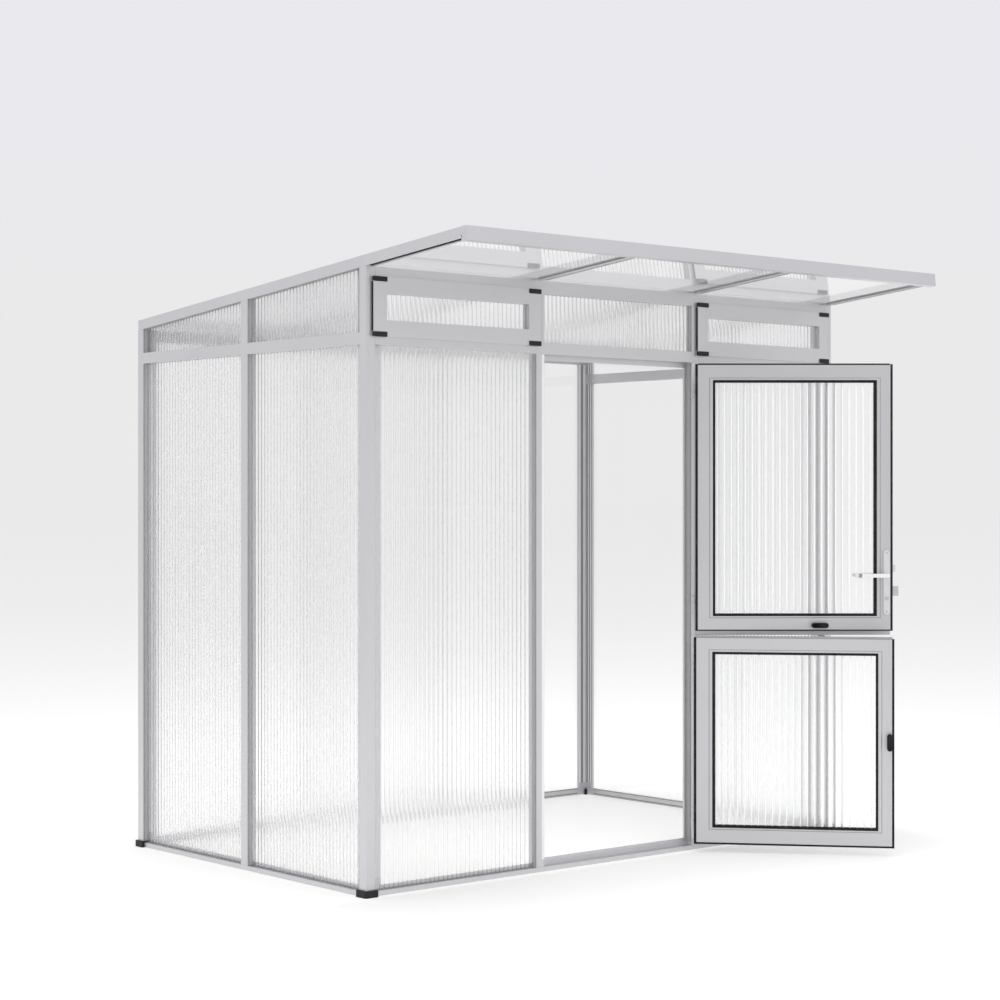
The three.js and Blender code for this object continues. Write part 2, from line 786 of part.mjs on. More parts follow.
// One lever each side of the leaf on a shared spindle
function leverHandle() {
  const arms = [leverArm(leafThick + leverReach, 1), leverArm(-leverReach, -1)];
  const spindle = cylinderY(leverX, -leverReach + leverThick / 2, leafThick + leverReach - leverThick / 2,
    leverLevel, neck);
  return carved(spindle, arms, []);
}

function latchBolt() {
  const tip = leafLeft - latchOut;
  const half = boltThick / 2;
  const section = [
    [tip, leafMiddle - half], [tip + boltLength, leafMiddle - half],
    [tip + boltLength, leafMiddle + half], [tip + boltThick, leafMiddle + half],
  ];
  return alongZ(outline(section), latchLevel - latchHeight / 2, latchLevel + latchHeight / 2);
}

function deadBolt() {
  const tip = leafLeft - deadOut;
  const half = [boltThick / 2, deadHeight / 2];
  return block(tip, tip + boltLength, leafMiddle - half[0], leafMiddle + half[0],
    deadLevel - half[1], deadLevel + half[1]);
}

// An oval grip on a round foot, with the cam that it turns inside the leaf
function knobGrip(upright) {
  const straight = (knobLength - knobWidth) / 2;
  const shape = new THREE.Shape();
  shape.absarc(straight, 0, knobWidth / 2, -Math.PI / 2, Math.PI / 2, false);
  shape.absarc(-straight, 0, knobWidth / 2, Math.PI / 2, Math.PI * 1.5, false);
  const grip = extruded(shape, knobGripThick).rotateX(-Math.PI / 2);
  if (upright) grip.rotateY(Math.PI / 2);
  return grip;
}

function turnKnob(x, level, upright, cam) {
  const top = leafThick + knobRise;
  const grip = knobGrip(upright).translate(x, top - knobGripThick, level);
  const stem = cylinderY(x, leafMiddle - camThick / 2, top - knobGripThick / 2, level, knobFoot / 2);
  return carved(stem, [grip, cam], []);
}

function upperKnob() {
  const half = [camWidth / 2, camThick / 2];
  const cam = block(knobX, knobX + upperCam, leafMiddle - half[1], leafMiddle + half[1],
    knobLevel - half[0], knobLevel + half[0]);
  return turnKnob(knobX, knobLevel, false, cam);
}

function lowerKnob() {
  const half = [camWidth / 2, camThick / 2];
  const cam = block(lowerKnobX - half[0], lowerKnobX + half[0], leafMiddle - half[1], leafMiddle + half[1],
    lowerKnobLevel - lowerCam, lowerKnobLevel);
  return turnKnob(lowerKnobX, lowerKnobLevel, true, cam);
}

// A group whose contents, drawn with the leaf shut, turn about the hinge line
function swung(degrees, parts) {
  const turned = new THREE.Group();
  turned.position.set(hingeX, hingeY, 0);
  turned.rotation.z = THREE.MathUtils.degToRad(degrees);
  const shut = new THREE.Group();
  shut.position.set(-hingeX, -hingeY, 0);
  shut.add(...parts);
  turned.add(shut);
  return turned;
}

function door() {
  const group = new THREE.Group();
  group.add(swung(upperLeafOpenDegrees, [
    mesh('upper_leaf_frame', upperLeafFrame(), aluminium),
    mesh('upper_leaf_sheet', leafSheet(upperLeaf), ribbedSheet),
    mesh('lever_handle', leverHandle(), satinWhiteMetal),
    mesh('latch_bolt', latchBolt(), steel),
    mesh('dead_bolt', deadBolt(), steel),
    mesh('upper_turn_knob', upperKnob(), blackPlastic),
  ]));
  group.add(swung(lowerLeafOpenDegrees, [
    mesh('lower_leaf_frame', lowerLeafFrame(), aluminium),
    mesh('lower_leaf_sheet', leafSheet(lowerLeaf), ribbedSheet),
    mesh('lower_turn_knob', lowerKnob(), blackPlastic),
  ]));
  const names = ['upper_leaf_top_hinge', 'upper_leaf_bottom_hinge', 'lower_leaf_top_hinge', 'lower_leaf_bottom_hinge'];
  const levels = [...hingeLevels(upperLeaf), ...hingeLevels(lowerLeaf)];
  names.forEach((name, i) => group.add(mesh(name, postHinge(levels[i]), aluminium)));
  return group;
}

// The walls

function corners() {
  const group = new THREE.Group();
  for (const [name, farX, farY] of [
    ['front_left', false, false], ['front_right', true, false],
    ['rear_left', false, true], ['rear_right', true, true],
  ]) {
    group.add(mesh(`${name}_foot`, foot(farX, farY), blackPlastic));
    group.add(mesh(`${name}_post`, cornerPost(farX, farY), aluminium));
  }
  return group;
}

function frontWall() {
  const group = new THREE.Group();
  group.add(mesh('front_sill', frontSill(), aluminium));
  group.add(mesh('left_door_post', doorPost(false), aluminium));
  group.add(mesh('right_door_post', doorPost(true), aluminium));
  group.add(mesh('front_transom', frontTransom(), aluminium));
  group.add(mesh('front_header', headBar(headerLevel, (inward) => inward), aluminium));
  const bays = [['left', post, doorPostLeft], ['right', doorRight + post, width - post]];
  for (const [side, low, high] of bays) {
    const lower = frontSheet(low, high, sillHeight, transomBottom);
    group.add(mesh(`front_${side}_sheet`, lower, ribbedSheet));
    group.add(vent(side, low, high));
  }
  const over = frontSheet(doorLeft, doorRight, transomTop, headerLevel);
  group.add(mesh('over_door_sheet', over, ribbedSheet));
  return group;
}

function rearWall() {
  const group = new THREE.Group();
  group.add(mesh('rear_sill', rearSill(), aluminium));
  group.add(mesh('rear_post', rearPost(), aluminium));
  group.add(mesh('rear_eave_beam', headBar(eaveBottom, (inward) => depth - inward), aluminium));
  group.add(mesh('rear_left_sheet', rearSheet(post, rearMid - post / 2), clearPane));
  group.add(mesh('rear_right_sheet', rearSheet(rearMid + post / 2, width - post), clearPane));
  return group;
}

// The left gable has ribbed sheets like the front, the right one flat clear ones like the rear
function gable(side, far) {
  const group = new THREE.Group();
  const look = far ? clearPane : ribbedSheet;
  group.add(mesh(`${side}_sill`, gableSill(far), aluminium));
  group.add(mesh(`${side}_gable_post`, gablePostMesh(far), aluminium));
  group.add(mesh(`${side}_gable_transom`, gableTransom(far), aluminium));
  const bays = [['front', post, gableMid - gablePost / 2], ['rear', gableMid + gablePost / 2, depth - post]];
  for (const [name, low, high] of bays) {
    group.add(mesh(`${side}_lower_${name}_sheet`, lowerGableSheet(far, low, high), look));
    group.add(mesh(`${side}_upper_${name}_sheet`, upperGableSheet(far, low, high), look));
  }
  return group;
}

// The house is set down with the middle of its footprint at the origin
function greenhouse() {
  const house = new THREE.Group();
  house.add(corners(), frontWall(), rearWall(), gable('left', false), gable('right', true), roof(), door());
  const box = new THREE.Box3().setFromObject(house, true);
  const middle = box.getCenter(new THREE.Vector3());
  house.position.set(-middle.x, -middle.y, -box.min.z);
  const whole = new THREE.Group();
  whole.add(house);
  return whole;
}

export default greenhouse();
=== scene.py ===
import json
import math

import bmesh
import bpy
from mathutils import Matrix, Vector


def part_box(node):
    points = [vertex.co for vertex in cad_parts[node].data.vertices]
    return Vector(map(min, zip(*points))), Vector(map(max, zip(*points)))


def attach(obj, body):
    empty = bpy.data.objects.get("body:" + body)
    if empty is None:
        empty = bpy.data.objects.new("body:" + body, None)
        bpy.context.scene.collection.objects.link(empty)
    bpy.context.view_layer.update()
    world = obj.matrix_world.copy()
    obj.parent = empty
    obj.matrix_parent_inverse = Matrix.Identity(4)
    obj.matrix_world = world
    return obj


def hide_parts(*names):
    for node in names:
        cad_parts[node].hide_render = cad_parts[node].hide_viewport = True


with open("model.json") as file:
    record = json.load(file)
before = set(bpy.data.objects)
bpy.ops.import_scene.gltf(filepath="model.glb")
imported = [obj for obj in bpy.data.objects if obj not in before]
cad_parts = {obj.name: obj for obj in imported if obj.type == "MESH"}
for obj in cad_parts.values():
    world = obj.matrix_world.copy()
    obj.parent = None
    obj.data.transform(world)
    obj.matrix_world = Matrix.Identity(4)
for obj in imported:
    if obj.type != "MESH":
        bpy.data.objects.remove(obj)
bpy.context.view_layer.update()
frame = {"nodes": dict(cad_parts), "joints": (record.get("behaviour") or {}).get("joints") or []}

bl_info = {
    "name": "Lean-to greenhouse dressing",
    "version": (1, 0, 0),
    "blender": (4, 5, 0),
    "location": "3D View > Sidebar > Greenhouse",
    "description": "Finishes and fittings of a lean-to greenhouse on its packed frame",
    "category": "Object",
}

# Where the house stands in the frame
HOUSE_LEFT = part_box("left_verge_rafter")[0].x
HOUSE_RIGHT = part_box("right_verge_rafter")[1].x
HOUSE_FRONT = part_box("front_header")[0].y
HOUSE_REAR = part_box("rear_eave_beam")[1].y
JOINTS = {joint["name"]: joint for joint in frame["joints"]}
HINGE = Vector(JOINTS["upper_leaf_hinge"]["pos_m"])
UPPER_OPEN = math.radians(-JOINTS["upper_leaf_hinge"]["range_deg"][0])
LOWER_OPEN = math.radians(-JOINTS["lower_leaf_hinge"]["range_deg"][0])
# The roof falls 142 mm over the house's depth of 1550 mm
ROOF_SLOPE = math.atan2(142, 1550)
UP = Vector((0, 0, 1))


# Planes of the house: each takes (along, up, inward) in metres to the frame


def wall_plane(corner, along, inward):
    plane = Matrix((along, UP, inward)).transposed().to_4x4()
    plane.translation = corner
    return plane


def leaf_plane(opened):
    swing = Matrix.Translation(HINGE) @ Matrix.Rotation(opened, 4, "Z") @ Matrix.Translation(-HINGE)
    return swing @ FRONT


def roof_plane():
    """Along the front, up the slope towards the canopy, and down into the house."""
    ridge = Vector((0, -math.cos(ROOF_SLOPE), math.sin(ROOF_SLOPE)))
    down = Vector((0, -math.sin(ROOF_SLOPE), -math.cos(ROOF_SLOPE)))
    corners = [corner.co for corner in frame["nodes"]["canopy_fascia"].data.vertices]
    tallest = max(corners, key=lambda corner: corner.z)
    plane = Matrix((RIGHTWARD, ridge, down)).transposed().to_4x4()
    plane.translation = Vector((HOUSE_LEFT, tallest.y, tallest.z))
    return plane


RIGHTWARD = Vector((1, 0, 0))
REARWARD = Vector((0, 1, 0))
FRONT = wall_plane(Vector((HOUSE_LEFT, HOUSE_FRONT, 0)), RIGHTWARD, REARWARD)
REAR = wall_plane(Vector((HOUSE_LEFT, HOUSE_REAR, 0)), RIGHTWARD, -REARWARD)
LEFT_GABLE = wall_plane(Vector((HOUSE_LEFT, HOUSE_FRONT, 0)), REARWARD, RIGHTWARD)
RIGHT_GABLE = wall_plane(Vector((HOUSE_RIGHT, HOUSE_FRONT, 0)), REARWARD, -RIGHTWARD)
UPPER_LEAF = leaf_plane(UPPER_OPEN)
LOWER_LEAF = leaf_plane(LOWER_OPEN)
ROOF = roof_plane()

CORNERS = [f"{end}_{side}" for end in ("front", "rear") for side in ("left", "right")]
FEET = [f"{corner}_foot" for corner in CORNERS]
ROOF_PANES = ["left_roof_pane", "middle_roof_pane", "right_roof_pane"]
RAFTERS = ["left_verge_rafter", "right_verge_rafter", "left_mid_rafter", "right_mid_rafter"]
UPRIGHT_BARS = [
    f"{place}_post" for place in CORNERS + ["left_door", "right_door", "rear", "left_gable", "right_gable"]
] + [f"{leaf}_leaf_{end}_hinge" for leaf in ("upper", "lower") for end in ("top", "bottom")]
FRONT_BARS = [
    "front_sill", "front_transom", "front_header", "rear_sill", "rear_eave_beam", "canopy_fascia",
    "left_vent_sash", "right_vent_sash",
]
GABLE_BARS = ["left_sill", "right_sill", "left_gable_transom", "right_gable_transom"]
GABLE_BAYS = [f"{level}_{end}_sheet" for level in ("lower", "upper") for end in ("front", "rear")]
RIBBED_SHEETS = {"front_left_sheet": FRONT, "front_right_sheet": FRONT, "over_door_sheet": FRONT}
RIBBED_SHEETS.update({f"left_{bay}": LEFT_GABLE for bay in GABLE_BAYS})
FLAT_SHEETS = {"rear_left_sheet": REAR, "rear_right_sheet": REAR}
FLAT_SHEETS.update({f"right_{bay}": RIGHT_GABLE for bay in GABLE_BAYS})
# Each leaf's plane, body and sheet
LEAVES = {
    "upper": (UPPER_LEAF, "upper_leaf", "upper_leaf_sheet"),
    "lower": (LOWER_LEAF, "lower_leaf", "lower_leaf_sheet"),
}

# Two places that are nearer than this count as one
NEAR = 0.001
# The doorway in metres along and up from the house's left front corner
DOOR_LEFT = 0.850
DOOR_RIGHT = 1.650
SILL_TOP = 0.034
TRANSOM_FOOT = 1.974
# How wide a corner post is, and how thick the walls of the hollow bars
POST_WIDE = 0.040
BAR_WALL = 0.0036
# How deep a sheet stands in the grooves of the wall's bars and of a leaf's
WALL_GROOVE = 0.006
LEAF_GROOVE = 0.008
LEAF_THICK = 0.028
LEAF_GAP = 0.008
# From a leaf's sheet to the leaf's edge
LEAF_RAIL = 0.054
# How light the leaves' bars are beside the others, and how far their seals reach below them
LEAF_TONES = {"upper": 0.88, "lower": 0.93}
SEAL_DROPS = {"upper": 0.0045, "lower": 0.0070}
# How far the clear part of a leaf's sheet stays inside the opening, and how wide the bead
# outside its gasket is: below, hinge side, above, lock side
SIGHT_MARGINS = {"upper": (0.0030, 0.0140, 0.0135, 0.0045), "lower": (0.0085, 0.0174, 0.0070, 0.0037)}
BEAD_WIDTHS = (0.006, 0.012, 0.007, 0.013)
# Sections round a leaf's sheet: share of the width from the inside, and how far out from the
# leaf's face or the sheet's
GASKET = (
    (0, "sheet", -0.001), (0, "face", 0.0008), (0.15, "face", 0.0016), (0.9, "face", 0.0016),
    (1, "face", 0.0004), (1, "sheet", -0.001))
BEAD = (
    (0, "sheet", 0.0002), (0, "face", 0.0014), (0.12, "face", 0.0021), (0.8, "face", 0.0018),
    (1, "face", 0.0006), (1, "face", -0.0010), (0.15, "face", -0.0010), (0.15, "sheet", 0.0002))
GROOVE_LINE = ((0, "face", -0.0002), (0, "face", 0.0002), (1, "face", 0.0002), (1, "face", -0.0002))
# Heights of the pockets in the left door post: the lower knob's cam, the dead bolt, the latch
STRIKES = ((0.446, 0.464), (1.030, 1.074), (1.1265, 1.1595))
# Bands up the inner faces of a rear corner post, from its inner corner: painted light in the light strips,
# painted shade in the channels and lines
WALL_LEG_BANDS = {
    "capping": ((0.0010, 0.0172), (0.0303, 0.0436)), "groove_shade": ((0.0175, 0.0300),),
}
GABLE_LEG_BANDS = {
    "capping": ((0.0168, 0.0237), (0.0308, 0.0372)),
    "groove_shade": ((0.0098, 0.0165), (0.0240, 0.0305)), "line_shade": ((0.0022, 0.0095), (0.0375, 0.0436)),
}
# Turned pieces on a long plate, each with how far it lies below the lever: (radius, out from the plate)
ROSE = ((0.0112, -0.001), (0.0112, 0.0022), (0.0100, 0.0032))
CYLINDER = ((0.0085, -0.001), (0.0085, 0.0024), (0.0075, 0.0032))
SCREW = ((0.0042, -0.001), (0.0042, 0.0009), (0.0030, 0.0014))
PLATE_FITTINGS = ((0, ROSE), (0.092, CYLINDER), (-0.0905, SCREW), (0.1455, SCREW))
# Their slots: below the lever, half width, half height, and from and to where out of the plate
PLATE_SLOTS = (
    (-0.0905, 0.0026, 0.0004, 0.0013, 0.00155), (0.1455, 0.0026, 0.0004, 0.0013, 0.00155),
    (0.092, 0.0008, 0.0045, 0.0031, 0.0034))

# The photograph's camera, in the front wall's plane, and the lamp over the house
CAMERA_PLACE = Vector((-4.7146, 1.4263, -6.2514))
CAMERA_TURN = (math.radians(89.953), 0, math.radians(-40.515))
LENS = 78.96
LAMP_PLACE = Vector((-1.0, -1.5, 7.0))
WHITE = (1, 1, 1, 1)
BOUNCES = {
    "max_bounces": 24, "transmission_bounces": 18, "transparent_max_bounces": 16,
    "glossy_bounces": 6, "diffuse_bounces": 4,
}


# Sizes and colours that a user may change


def length(name, description, default):
    return bpy.props.FloatProperty(name=name, description=description, default=default, min=0, unit="LENGTH")


def colour(name, description, default):
    return bpy.props.FloatVectorProperty(
        name=name, description=description, default=default, size=3, min=0, max=1, subtype="COLOR")


def angle(name, description, degrees):
    return bpy.props.FloatProperty(
        name=name, description=description, default=math.radians(degrees), min=0.01, subtype="ANGLE")


def share(name, description, default):
    return bpy.props.FloatProperty(
        name=name, description=description, default=default, min=0, max=1, subtype="FACTOR")


class GreenhouseBars(bpy.types.PropertyGroup):
    light_tone: colour("Light tone", "Lighter tone of the anodised bars", (0.70, 0.70, 0.712))
    dark_tone: colour("Dark tone", "Darker tone of the anodised bars", (0.62, 0.62, 0.638))
    roughness: share("Roughness", "How satin the bars are", 0.42)


class GreenhouseSheets(bpy.types.PropertyGroup):
    wall_pitch: length("Wall rib pitch", "Distance between the ribs of the wall sheets", 0.021)
    door_pitch: length("Door rib pitch", "Distance between the ribs of the door's sheets", 0.028)
    wall_rib: angle("Wall rib", "How steeply a wall sheet's ribs meet", 20)
    door_rib: angle("Door rib", "How steeply the ribs of the door's sheets meet", 14)
    tint: colour("Tint", "Colour of the clear plastic", (0.995, 0.996, 0.997))
    upper_tint: colour(
        "Upper tint", "Colour of the sheets over the door and in the vents", (0.955, 0.955, 0.958))
    gable_top_tint: colour(
        "Gable top tint", "Colour of the gable's sheets above the transom", (0.815, 0.815, 0.823))
    web_tone: colour("Web tone", "Colour of the milky lines where the ribs meet", (0.97, 0.97, 0.975))


class GreenhouseSeals(bpy.types.PropertyGroup):
    gasket_width: length("Gasket width", "Width of the black gasket round the door's sheets", 0.010)
    lining: length("Glazing lining", "Thickness of the grey lining between a bar and a wall sheet", 0.0015)
    rubber: colour("Rubber", "Colour of the door's black gaskets and seals", (0.012, 0.012, 0.013))
    grey_rubber: colour("Grey rubber", "Colour of the lower leaf's grey upstand", (0.30, 0.30, 0.31))
    # These tones are partly the colour of dark joints and seals, partly painted shade in grooves, channels,
    # reveals and shaded side faces
    groove: colour("Groove", "Colour of the grooves along the bars' inner faces", (0.30, 0.30, 0.305))
    line: colour("Line", "Colour of the shallower lines beside the grooves", (0.42, 0.42, 0.425))
    fine_line: colour("Fine line", "Colour of the finest lines on the bars", (0.54, 0.54, 0.55))


class GreenhouseFittings(bpy.types.PropertyGroup):
    satin_tone: colour("Satin tone", "Colour of the lever", (0.93, 0.93, 0.935))
    plate_tone: colour("Plate tone", "Colour of the lever's long plates", (0.74, 0.74, 0.75))
    bolt_tone: colour("Bolt tone", "Colour of the plated bolts and screws", (0.59, 0.59, 0.60))
    # A light tone laid on faces of the posts that fall in shade: painted light
    capping: colour("Capping", "Colour of the light cappings inside the house", (0.93, 0.93, 0.94))
    black_tone: colour("Black tone", "Colour of the moulded black pieces", (0.013, 0.013, 0.014))


class GreenhouseStage(bpy.types.PropertyGroup):
    paper: colour("Paper", "Colour of the studio's floor", (0.720, 0.727, 0.694))
    glow: share("Glow", "Light that comes up through the floor far from the house", 0.23)
    near_glow: share("Near glow", "What the floor's own light gains by the house", 0.29)
    sky: colour("Sky", "Colour of the light from above", (0.822, 0.814, 0.856))
    surround: colour("Surround", "Colour of the light from all sides", (0.823, 0.823, 0.823))
    overhead: bpy.props.FloatProperty(
        name="Overhead light", description="Power of the soft light above", default=150, min=0, unit="POWER")


# Finishes


def toned(tone, share_kept):
    return tuple(min(1, part * share_kept) for part in tone)


def summed(operation, reflected=False):
    """An operator of a wire that adds its Math node."""
    def operator(self, other=None):
        terms = [self] if other is None else [other, self] if reflected else [self, other]
        return self.finish.wire("ShaderNodeMath", {"operation": operation}, dict(enumerate(terms)))
    return operator


class Wire:
    """A socket of a finish that takes part in plain sums."""

    def __init__(self, finish, socket):
        self.finish = finish
        self.socket = socket

    __add__ = summed("ADD")
    __radd__ = summed("ADD", reflected=True)
    __sub__ = summed("SUBTRACT")
    __rsub__ = summed("SUBTRACT", reflected=True)
    __mul__ = summed("MULTIPLY")
    __rmul__ = summed("MULTIPLY", reflected=True)
    __truediv__ = summed("DIVIDE")
    __rtruediv__ = summed("DIVIDE", reflected=True)
    __pow__ = summed("POWER")
    __gt__ = summed("GREATER_THAN")
    __abs__ = summed("ABSOLUTE")
    least = summed("MINIMUM")
    most = summed("MAXIMUM")
    fraction = summed("FRACT")


class Finish:
    """A material, or the light all round, under work."""

    def __init__(self, name, home=None):
        self.made = (bpy.data.materials if home is None else home).new(name)
        self.made.use_nodes = True
        self.tree = self.made.node_tree
        self.tree.nodes.clear()

    def node(self, kind, settings=None, sockets=None):
        made = self.tree.nodes.new(kind)
        for key, value in (settings or {}).items():
            setattr(made, key, value)
        for key, value in (sockets or {}).items():
            if isinstance(value, Wire):
                self.tree.links.new(value.socket, made.inputs[key])
            else:
                made.inputs[key].default_value = value
        return made

    def wire(self, kind, settings=None, sockets=None, output=0):
        return Wire(self, self.node(kind, settings, sockets).outputs[output])

    def between(self, factor, low, high):
        """A colour between two others."""
        low, high = (tone if isinstance(tone, Wire) else (*tone, 1) for tone in (low, high))
        return self.wire("ShaderNodeMix", {"data_type": "RGBA"}, {0: factor, 6: low, 7: high}, output=2)

    def spot(self):
        """Where a point of the piece lies, carried along as the piece moves."""
        return self.wire("ShaderNodeTexCoord", output="Object")

    def vector(self, operation, sockets, output="Vector"):
        return self.wire("ShaderNodeVectorMath", {"operation": operation}, sockets, output)

    def part(self, vector, axis):
        return self.wire("ShaderNodeSeparateXYZ", {}, {0: vector}, axis)

    def along(self, spot, direction):
        return self.vector("DOT_PRODUCT", {0: spot, 1: direction}, "Value")

    def drawn_out(self, spot, direction, factor):
        """The same place with its length along a direction scaled, for grain."""
        excess = self.along(spot, direction) * (factor - 1)
        return self.vector("ADD", {0: spot, 1: self.vector("SCALE", {0: direction, "Scale": excess})})

    def noise(self, place, scale, detail=2.0, roughness=0.5):
        sockets = {"Vector": place, "Scale": scale, "Detail": detail, "Roughness": roughness}
        return self.wire("ShaderNodeTexNoise", {"noise_dimensions": "3D"}, sockets)

    def ramp(self, value, low, high):
        """Zero below low, one above high, smooth between."""
        settings = {"interpolation_type": "SMOOTHSTEP"}
        return self.wire("ShaderNodeMapRange", settings, {"Value": value, "From Min": low, "From Max": high})

    def rounded(self, radius):
        return self.wire("ShaderNodeBevel", {"samples": 4}, {"Radius": radius})

    def edge(self, rounded):
        """One where an edge is near."""
        return 1 - self.along(rounded, self.wire("ShaderNodeNewGeometry", output="True Normal"))

    def bump(self, height, depth, normal=None):
        sockets = {"Height": height, "Distance": depth, "Strength": 1.0}
        if normal is not None:
            sockets["Normal"] = normal
        return self.wire("ShaderNodeBump", {}, sockets)

    def surface(self, **sockets):
        named = {key.replace("_", " "): value for key, value in sockets.items()}
        return self.wire("ShaderNodeBsdfPrincipled", {}, named)

    def plain(self, **sockets):
        """Ends a finish that has one surface."""
        return self.done(self.surface(**sockets))

    def done(self, shader, output="ShaderNodeOutputMaterial"):
        self.node(output, {}, {"Surface": shader})
        return self.made


def metal(name, light_tone, dark_tone, roughness, grain_wires):
    """An extruded bar's satin metal: grain, drawing lines, slow cloudiness and painted highlights along the
    edges.
    """
    made = Finish(name)
    spot = made.spot()
    grain, lines = grain_wires(made, spot)
    cloud = made.noise(spot, 2.2, 3.0)
    marks = made.noise(spot, 38.0, 5.0, 0.65)
    rounded = made.rounded(0.0012)
    edge = made.ramp(made.edge(rounded), 0.01, 0.25)
    tone = made.between(cloud * 0.75 + grain * 0.25, dark_tone, light_tone)
    # Painted highlight: the base colour turns lighter near every edge
    edge_highlit = made.between(edge * 0.35, tone, toned(light_tone, 1.18))
    dulled = roughness + 0.10 * (cloud - 0.5) + 0.08 * (grain - 0.5) + 0.05 * made.ramp(marks, 0.6, 0.7)
    normal = made.bump(grain * 0.4 + lines * 0.6, 0.00006, rounded)
    return made.plain(
        Base_Color=edge_highlit, Roughness=dulled - edge * 0.08, Metallic=0.82, Normal=normal, Specular_IOR_Level=0.5)


def straight_grain(direction):
    def wires(made, spot):
        grain = made.noise(made.drawn_out(spot, direction, 0.015), 700.0, 3.0, 0.6)
        lines = made.noise(made.drawn_out(spot, direction, 0.0004), 210.0, 2.0)
        return grain, lines
    return wires


def framed_grain(plane, low, high):
    """Grain that turns at the mitred corners of a door leaf, with a fine line at each joint."""
    across = Vector(plane.col[0][:3])

    def wires(made, spot):
        run = made.along(spot, across)
        rise = made.along(spot, UP)
        start = (plane @ Vector((*low, 0))).dot(across)
        end = (plane @ Vector((*high, 0))).dot(across)
        to_side = (run - start).least(end - run)
        to_end = (rise - low[1]).least(high[1] - rise)
        on_rail = made.ramp(to_side - to_end, -0.0001, 0.0001)
        upright = straight_grain(UP)(made, spot)
        level = straight_grain(across)(made, spot)
        grain, lines = (a + (b - a) * on_rail for a, b in zip(upright, level))
        joint = made.ramp(abs(to_side - to_end), 0.0002, 0.0006)
        return grain * joint, lines * joint
    return wires


def moulded_black(name, tone):
    made = Finish(name)
    spot = made.spot()
    stipple = made.noise(spot, 1500.0, 2.0)
    cloud = made.noise(spot, 14.0, 3.0)
    rounded = made.rounded(0.001)
    edge = made.ramp(made.edge(rounded), 0.02, 0.3)
    # Painted highlight: the base turns lighter towards the edges; the cloud also mixes in a random lighter tone
    lighter = tuple(min(1, part * 2.6 + 0.01) for part in tone)
    base = made.between(cloud * 0.35 + edge * 0.5, tone, lighter)
    normal = made.bump(stipple, 0.00015, rounded)
    return made.plain(
        Base_Color=base, Roughness=0.42 + 0.14 * cloud - 0.1 * edge, Specular_IOR_Level=0.25, Normal=normal)


def rubber(name, tone):
    made = Finish(name)
    spot = made.spot()
    bloom = made.noise(spot, 26.0, 4.0, 0.6)
    fine = made.noise(spot, 2200.0, 1.0)
    dusty = tuple(part + 0.022 for part in tone)
    base = made.between(made.ramp(bloom, 0.45, 0.75), tone, dusty)
    return made.plain(
        Base_Color=base, Roughness=0.62 + 0.2 * bloom, Specular_IOR_Level=0.2, Normal=made.bump(fine, 0.0001))


def satin(name, tone, roughness, metallic):
    made = Finish(name)
    spot = made.spot()
    brushed = made.noise(made.drawn_out(spot, UP, 0.03), 1400.0, 3.0, 0.6)
    cloud = made.noise(spot, 20.0, 3.0)
    rounded = made.rounded(0.0008)
    return made.plain(
        Base_Color=made.between(cloud, toned(tone, 0.95), tone), Metallic=metallic,
        Roughness=roughness + 0.08 * (brushed - 0.5) + 0.06 * (cloud - 0.5),
        Normal=made.bump(brushed, 0.00003, rounded))


def clear_pane(name, run_off, film_tone, ior):
    """Flat clear glazing with a thin film of dust that rain has drawn along its run."""
    made = Finish(name)
    spot = made.spot()
    film = made.ramp(made.noise(spot, 3.0, 5.0, 0.62), 0.48, 0.8)
    streak = made.noise(made.drawn_out(spot, run_off, 0.08), 60.0, 4.0)
    return made.plain(
        Base_Color=made.between(film, (0.995, 0.997, 0.997), film_tone),
        Roughness=0.004 + 0.02 * film * streak, IOR=ior, Transmission_Weight=1.0, Specular_IOR_Level=0.5)


def ribbed_sheet(name, tint, web_tone, web_width, web_strength):
    """Slightly hazy ribbed plastic with a milky line where two ribs meet; the hazy part and the milky lines
    glow a little, as painted light.
    """
    made = Finish(name)
    spot = made.spot()
    run = made.wire("ShaderNodeUVMap", {"uv_map": "channels"})
    from_web = 0.5 - abs(made.part(run, 0).fraction() - 0.5)
    web = 1 - made.ramp(from_web, web_width * 0.5, web_width)
    cloud = made.noise(spot, 5.0, 3.0)
    haze = made.noise(made.drawn_out(spot, UP, 0.02), 90.0, 3.0)
    base = made.between(cloud * 0.5 + haze * 0.5, toned(tint, 0.997), tint)
    plastic = {"Base_Color": base, "IOR": 1.46, "Transmission_Weight": 1.0}
    clear = made.surface(Roughness=0.0, **plastic)
    # The weak glow of the hazy and the milky surfaces is painted light that brightens the sheets
    hazy = made.surface(Roughness=0.25, Emission_Color=WHITE, Emission_Strength=0.05, **plastic)
    milky = made.surface(
        Base_Color=made.between(haze, toned(web_tone, 0.98), web_tone),
        Roughness=0.3 + 0.1 * cloud, Emission_Color=WHITE, Emission_Strength=0.2)
    sheet = made.wire("ShaderNodeMixShader", {}, {0: 0.4, 1: clear, 2: hazy})
    return made.done(made.wire("ShaderNodeMixShader", {}, {0: web * web_strength, 1: sheet, 2: milky}))


